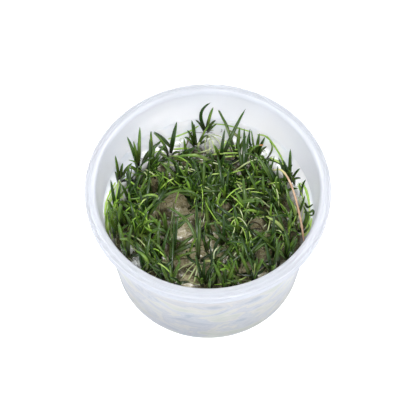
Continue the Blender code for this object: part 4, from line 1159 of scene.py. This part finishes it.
# thin stems and roots over and between them: skin, radius, points
thinStemTable = (
    ("bright", 0.3, ((-37, 9.7, 50.5), (-37.5, 2, 51), (-37.7, -1.5, 51), (-39.4, -7, 50),
         (-40.5, -12.5, 48))),
    ("bright", 0.28, ((-38.9, 5.6, 51), (-40.7, -1.8, 51.5), (-41.1, -7.4, 51.5), (-40.6, -13.9, 49))),
    ("green", 0.42, ((-17.3, -7.1, 47), (-11.6, -6.6, 48.5), (-6.2, -5.8, 49))),
    ("green", 0.42, ((-14.1, -0.7, 49.5), (-14.8, -8.6, 49.5), (-15.3, -21.3, 49), (-15.3, -35.4, 47.5))),
    ("green", 0.42, ((-17.2, -16.6, 48), (-12.7, -17.6, 48.5), (-8.8, -18.7, 48.5))),
    ("pale", 0.45, ((-19.7, 18.9, 49), (-14.7, 16.7, 50.5), (-10.5, 15.8, 50.5), (-7.3, 17, 49))),
    ("brown", 0.35, ((-6.9, 35.5, 46.8), (-8.1, 31.6, 47.2), (-9.4, 27.5, 47.5))),
    ("bright", 0.4, ((-14.5, 25.7, 48.5), (-10.6, 25.8, 49), (-6.4, 25.6, 49))),
    ("bright", 0.38, ((1.6, 22.8, 49), (7.5, 23.2, 49.5), (13.2, 23.3, 49.5))),
    ("bright", 0.32, ((7.1, 26.9, 48.5), (10, 27.1, 49), (13.4, 27.3, 49))),
    ("bright", 0.32, ((6.6, 25.1, 48.5), (10, 25.2, 49), (13.4, 25.3, 49))),
    ("bright", 0.32, ((6.2, 22, 48.5), (10, 22, 49), (13.3, 22.2, 49))),
    ("brown", 0.35, ((10.8, 20.5, 48.5), (10, 23.8, 49.5), (8.8, 27.2, 49.5))),
    ("pale", 0.45, ((-4.3, 26.8, 49), (-3.5, 28.4, 50))),
    ("bright", 0.42, ((25.8, 20.5, 50.5), (28.7, 18.5, 51), (32, 17.2, 50))),
    ("bright", 0.42, ((39.1, 8.7, 50.5), (40.6, 3.4, 51), (41.4, -1, 50.5))),
    ("bright", 0.28, ((37.2, 8.3, 49.5), (38.8, 2.3, 50), (39.6, -1.2, 49.5))),
    ("bright", 0.42, ((42.5, -7.7, 49.5), (41.3, -12.6, 48.5), (39.1, -15.1, 46.8))),
    ("bright", 0.38, ((41.3, -7, 49), (40.4, -11.5, 48), (38.8, -14.6, 46.8))),
    ("pale", 0.38, ((39.9, -7.2, 48.5), (39.2, -10.8, 47.5), (38, -14, 46.5))),
    ("pale", 0.42, ((34.6, 0.4, 47.5), (34.1, -4.7, 47.5), (34.4, -9, 46.8))),
    ("pale", 0.42, ((35.8, -0.8, 48), (36.3, -5, 48), (36.2, -9.6, 47))),
    ("bright", 0.4, ((19.1, 10.8, 48.5), (21.9, 8.9, 48.5), (25.3, 8, 47.5))),
    ("bright", 0.38, ((19, 3, 48), (21, 4.1, 48.5), (23.5, 5.6, 48.5))),
    ("pale", 0.28, ((-3.7, -26.1, 46), (-6.1, -30.4, 45.6), (-8.2, -34, 44.7))),
    ("pale", 0.3, ((-3.5, -26.1, 46), (-4.7, -30.9, 45.6), (-5.7, -34.9, 44.7))),
    ("pale", 0.26, ((-2.9, -27, 46), (-3.3, -30.8, 45.5), (-4.1, -34, 44.7))),
    ("brown", 0.28, ((-4.5, -25.1, 45.8), (-9.4, -24.3, 45.2), (-15.1, -24.6, 44.8))),
    ("pale", 0.26, ((22.5, -10.1, 45.2), (25, -8, 45.8), (28.3, -8.5, 45.8), (29.9, -11.3, 45))),
    ("brown", 0.3, ((14.7, -9.1, 45.2), (17.6, -7.5, 45.6), (20.9, -8.3, 45.4), (22.9, -11.3, 45))),
    ("brown", 0.28, ((16.3, -12.3, 45), (18.8, -10.6, 45.4), (22.1, -10.4, 45))),
    ("pale", 0.22, ((-0.1, 33.3, 48.5), (2, 28.2, 49.5), (2.9, 23.4, 47))),
    ("pale", 0.2, ((0.3, 33.3, 48.5), (4.5, 28.9, 50), (6.2, 24.3, 47))),
    ("pale", 0.2, ((-0.5, 33.1, 48), (-1.3, 27.6, 49), (0.3, 23.2, 46.5))),
    ("pale", 0.2, ((1.2, 33.3, 48.5), (6.2, 30.7, 49.5), (8.8, 26.3, 47))),
    ("pale", 0.2, ((-0.1, 32.6, 48), (0.8, 25.8, 49.5), (-1.3, 22.7, 46.5))),
    ("bright", 0.3, ((7.9, 30, 49), (6.2, 25.8, 49.5), (2.9, 24.4, 48.5))),
    ("pale", 0.22, ((37, 2.3, 50), (38.1, -2.6, 50.5), (36.8, -7.8, 48))),
    ("pale", 0.2, ((37.8, 1.9, 50), (39.3, -3.3, 50), (38.1, -9.4, 47.5))),
    ("pale", 0.22, ((35, 1, 49), (35.2, -4.9, 49.5), (37.2, -10.1, 47))),
    ("pale", 0.22, ((-36.5, 8.9, 51), (-34.7, 4.6, 51), (-33.1, 2, 49))),
    ("pale", 0.2, ((-36.5, 8.9, 51), (-35.6, 4, 50.5), (-34.8, 0.8, 48.5))),
    ("pale", 0.2, ((-4.1, -25.7, 46), (-7.4, -29, 46.4), (-10.6, -33.3, 45))),
    ("pale", 0.2, ((-3.3, -26.6, 46), (-2.5, -30.7, 46.2), (-1.7, -35.5, 45))),
    ("pale", 0.2, ((-4.1, -25.7, 46), (-9, -27.5, 46), (-12.6, -29.7, 45))),
    ("brown", 0.3, ((-24.8, -24.5, 46.5), (-22.8, -26.2, 46.2), (-20.3, -28.1, 45.4))),
    ("bright", 0.26, ((-37.2, 8.5, 50.5), (-39.4, 3.1, 51), (-41.7, -2.8, 50.5), (-42, -7.7, 49.5),
         (-40.9, -13.4, 47.5))),
    ("bright", 0.24, ((-37.5, 7.7, 50.5), (-37.7, 2.3, 51), (-38.8, -2.8, 50.5), (-40.2, -6.5, 50),
         (-41, -11.3, 49), (-40.1, -15.6, 47))),
    ("bright", 0.22, ((-36.5, 6.4, 50), (-37.7, 1.7, 50), (-37.3, -3.6, 49), (-39.2, -8.7, 48.5),
         (-38.5, -13.3, 47))),
    ("bright", 0.24, ((-35.1, -3.5, 51), (-37.5, -4.6, 51.5), (-38.8, -6.6, 51), (-38.9, -10.3, 50),
         (-38.2, -13.8, 48))),
    ("bright", 0.22, ((-34.6, 1.6, 51), (-36.6, 0.1, 51.5), (-37.6, -1.6, 51), (-38.6, -4.1, 50))),
    ("bright", 0.24, ((-41, -2.6, 50), (-39.9, -7.7, 49.5), (-39.4, -13, 48.5), (-39, -16.4, 47))),
    ("bright", 0.2, ((-41.9, -8.2, 49), (-41.1, -12.7, 48), (-39.6, -16.3, 46.8))),
    ("green", 0.3, ((-22.5, -5.3, 51.5), (-21.2, -5.2, 52), (-19.4, -7.2, 52), (-18.1, -10.6, 50.5),
         (-18.1, -14.1, 48.5))),
)


def stemSkin(name, stops, start, patch, depth):
    # stolon: smooth wet green stem; dried, it turns to a matt salmon skin with straw streaks
    material, tree, shader = newMaterial(name)
    where = addNode(tree, "TexCoord").outputs["Object"]
    along = addNode(tree, "UVMap", {"uv_map": "UVMap"})
    height = addNode(tree, "SeparateXYZ", {}, {"Vector": along}).outputs["Y"]
    patches = addNode(tree, "TexNoise", {"Scale": cells(patch), "Detail": 3.0}, {"Vector": where})
    colour = addNode(tree, "ValToRGB", {"stops": stops}, {"Fac": patches})
    begin = addNode(tree, "MapRange", {"From Min": 0.22, "From Max": 0.12}, {"Value": height})
    ended = addNode(tree, "Mix", {**mixColour, 7: start}, {0: begin, 6: colour}).outputs[2]
    grain = addNode(tree, "TexNoise", {"Scale": cells(0.666667), "Detail": 2.0}, {"Vector": where})
    bump = addNode(tree, "Bump", {"Distance": depth * mm}, {"Height": grain})
    rough = addNode(tree, "ValToRGB", {"stops": ((0.3, 0.3), (0.7, 0.5))}, {"Fac": patches})
    wire(shader, {}, {"Base Color": ended, "Normal": bump, "Roughness": rough})
    return material


def pieceName(node):
    # runner_rear_left becomes runnerRearLeft
    first, *others = node.split("_")
    return first + "".join(part.capitalize() for part in others)


def jointed(t, radius, stretches):
    # the joints between a stolon's stretches swell a little, and its ends are thin
    joint = abs((t * stretches + 0.5) % 1.0 - 0.5)
    ends = min(1.0, 0.45 + 8 * t, 0.45 + 8 * (1 - t))
    return radius * ends * (0.7 + 0.25 * math.exp(-(joint / 0.08) ** 2))


def makeRunners(stem, root, skins):
    dried = stemSkin("driedStem", ((0.3, "#b08a6a"), (0.5, "#c9a88a"), (0.72, "#dcc6ae")), "#d3d08c",
                     2.5, 0.1)
    for name, radius, points in runnerTable:
        bunch = Bunch(pieceName(name))
        bunch.add(stem, followed(points), lambda t: jointed(t, radius, len(points) - 1))
        if name == "dry_strand":
            finishPiece(bunch.toObject((dried,)), "dry_stem", name)
        else:
            finishPiece(bunch.toObject((skins[skinSlot["bright"]],)), "shoreweed_stolon", name)
    bunch = Bunch("thinStems")
    for skin, radius, points in thinStemTable:
        bunch.add(root, followed(points), lambda t: radius * min(1.0, 0.4 + 6 * t, 0.4 + 6 * (1 - t)),
                  slot=skinSlot[skin])
    finishPiece(bunch.toObject(skins), "shoreweed_stolon")


# dead roots and litter lying on the gel

litterLook = dict(pieces=300, reach=38.0, past=1.0, seed=8, thick=(0.08, 0.18), long=(1.5, 5.0), pale=0.25)


def makeLitter(root, skins):
    dice = random.Random(litterLook["seed"])
    bunch = Bunch("rootLitter")
    for _ in range(litterLook["pieces"]):
        x, y = scatter(dice, litterLook["reach"])
        turn, bend = dice.uniform(0, 2 * math.pi), dice.uniform(-1.6, 1.6)
        long = dice.uniform(*litterLook["long"])
        heights = [gelShape["top"] + dice.uniform(0.1, 0.7) for _ in range(3)]
        points = wander(Vector((x, y, gelShape["top"] + 0.35)), turn, bend, long, heights)
        if widest(points) < litterLook["reach"] + litterLook["past"]:
            thick = dice.uniform(*litterLook["thick"])
            skin = "pale" if dice.random() < litterLook["pale"] else "brown"
            bunch.add(root, followed(points), lambda t: thick * (1.0 - 0.5 * t), slot=skinSlot[skin])
    finishPiece(bunch.toObject(skins), "aerial_root")


# root tufts

tuftLook = dict(fibres=38, thickness=0.085, spread=1.9, seed=21, facing=(0.3, 0.2, 1))

# white tufts of aerial root: x, y, radius, height
tuftTable = ((1.8, 29.8, 2.6, 5.6), (-35.0, 6.6, 2.2, 3.8), (-15.2, 20.6, 1.9, 2.8),
             (-32.6, -19.6, 1.6, 3.0), (-28.6, -26.5, 1.8, 3.4))
# wisps too small for a solid of their own, listed in the same way
smallTufts = ((35.2, 7.5, 1.7, 4.8), (36.4, 3.2, 1.4, 3.6), (21.5, 12.5, 1.2, 2.2))


def rootFibre():
    # dry aerial root: matt white fibres, faintly green low down
    material, tree, shader = newMaterial("aerialRootFibre")
    where = addNode(tree, "TexCoord").outputs["Object"]
    patches = addNode(tree, "TexNoise", {"Scale": cells(2.0), "Detail": 2.0}, {"Vector": where})
    colour = addNode(tree, "ValToRGB", {"stops": ((0.3, "#e6ebdc"), (0.6, "#ffffff"))}, {"Fac": patches})
    wire(shader, {"Roughness": 0.7, "Sheen Weight": 0.3}, {"Base Color": colour})
    return material


def makeTufts(fibre):
    material = rootFibre()
    dice = random.Random(tuftLook["seed"])
    low = gelShape["top"] + gelShape["gap"]
    for number, (x, y, radius, height) in enumerate(tuftTable + smallTufts):
        bunch = Bunch(f"rootTuft{number + 1}")
        for _ in range(round(tuftLook["fibres"] * radius ** 2)):
            # from near the crown down to the gel, wider below, each a little askew
            angle = dice.uniform(0, 2 * math.pi)
            out = radius * tuftLook["spread"] * math.sqrt(dice.random())
            bends = ((dice.uniform(0.5, 1.0), dice.uniform(0.1, 0.4)),
                     (dice.uniform(0.1, 0.7), dice.uniform(0.5, 1.1)), (dice.uniform(0, 0.25), 1.0))
            ends = []
            for share, wide in bends:
                angle += dice.uniform(-0.7, 0.7)
                ends.append(Vector((x + out * wide * math.cos(angle), y + out * wide * math.sin(angle),
                                    low + height * share)))
            bunch.add(fibre, lambda t: archPoint(*ends, t), lambda t: tuftLook["thickness"],
                      Vector(tuftLook["facing"]))
        nodes = (f"root_tuft_{number + 1}",) if number < len(tuftTable) else ()
        finishPiece(bunch.toObject((material,)), "aerial_root", *nodes)


# build

setStudio()
setCamera()
print("stage and camera set")
rosettes, leaves, sprigs = grow()
print("plants grown:", len(leaves), "leaves and", len(sprigs), "smaller")
makeCup()
print("cup made")
makeGel()
print("gel made")
blade, longBlade = leafBlade(leafLook["rings"]), leafBlade(leafLook["longRings"])
root, stem, fibre = straightRod("root", 5, 8), straightRod("stem", 10, 36), straightRod("fibre", 3, 5)
skins = (greenLeaf(), rootSkin("youngRoot", "#8b9a50", "#bccb88", "#dfe8c0"),
         rootSkin("oldRoot", "#241c0e", "#453a1e", "#6f6238"),
         stemSkin("freshStolon", ((0.3, "#7fae2c"), (0.5, "#a2cc4a"), (0.75, "#cfe28a")), "#b4d266",
                  6.25, 0.03))
plantDice = makePlantlets(rosettes, leaves, sprigs, blade, root, skins)
makeSingleLeaves(plantDice, longBlade, skins)
makeTangle(blade, root, skins)
print("plantlets made")
makeRunners(stem, root, skins)
makeLitter(root, skins)
makeTufts(fibre)
print("runners, litter and tufts made")
for model in (blade, longBlade, root, stem, fibre):
    bpy.data.objects.remove(model)

bpy.context.view_layer.update()
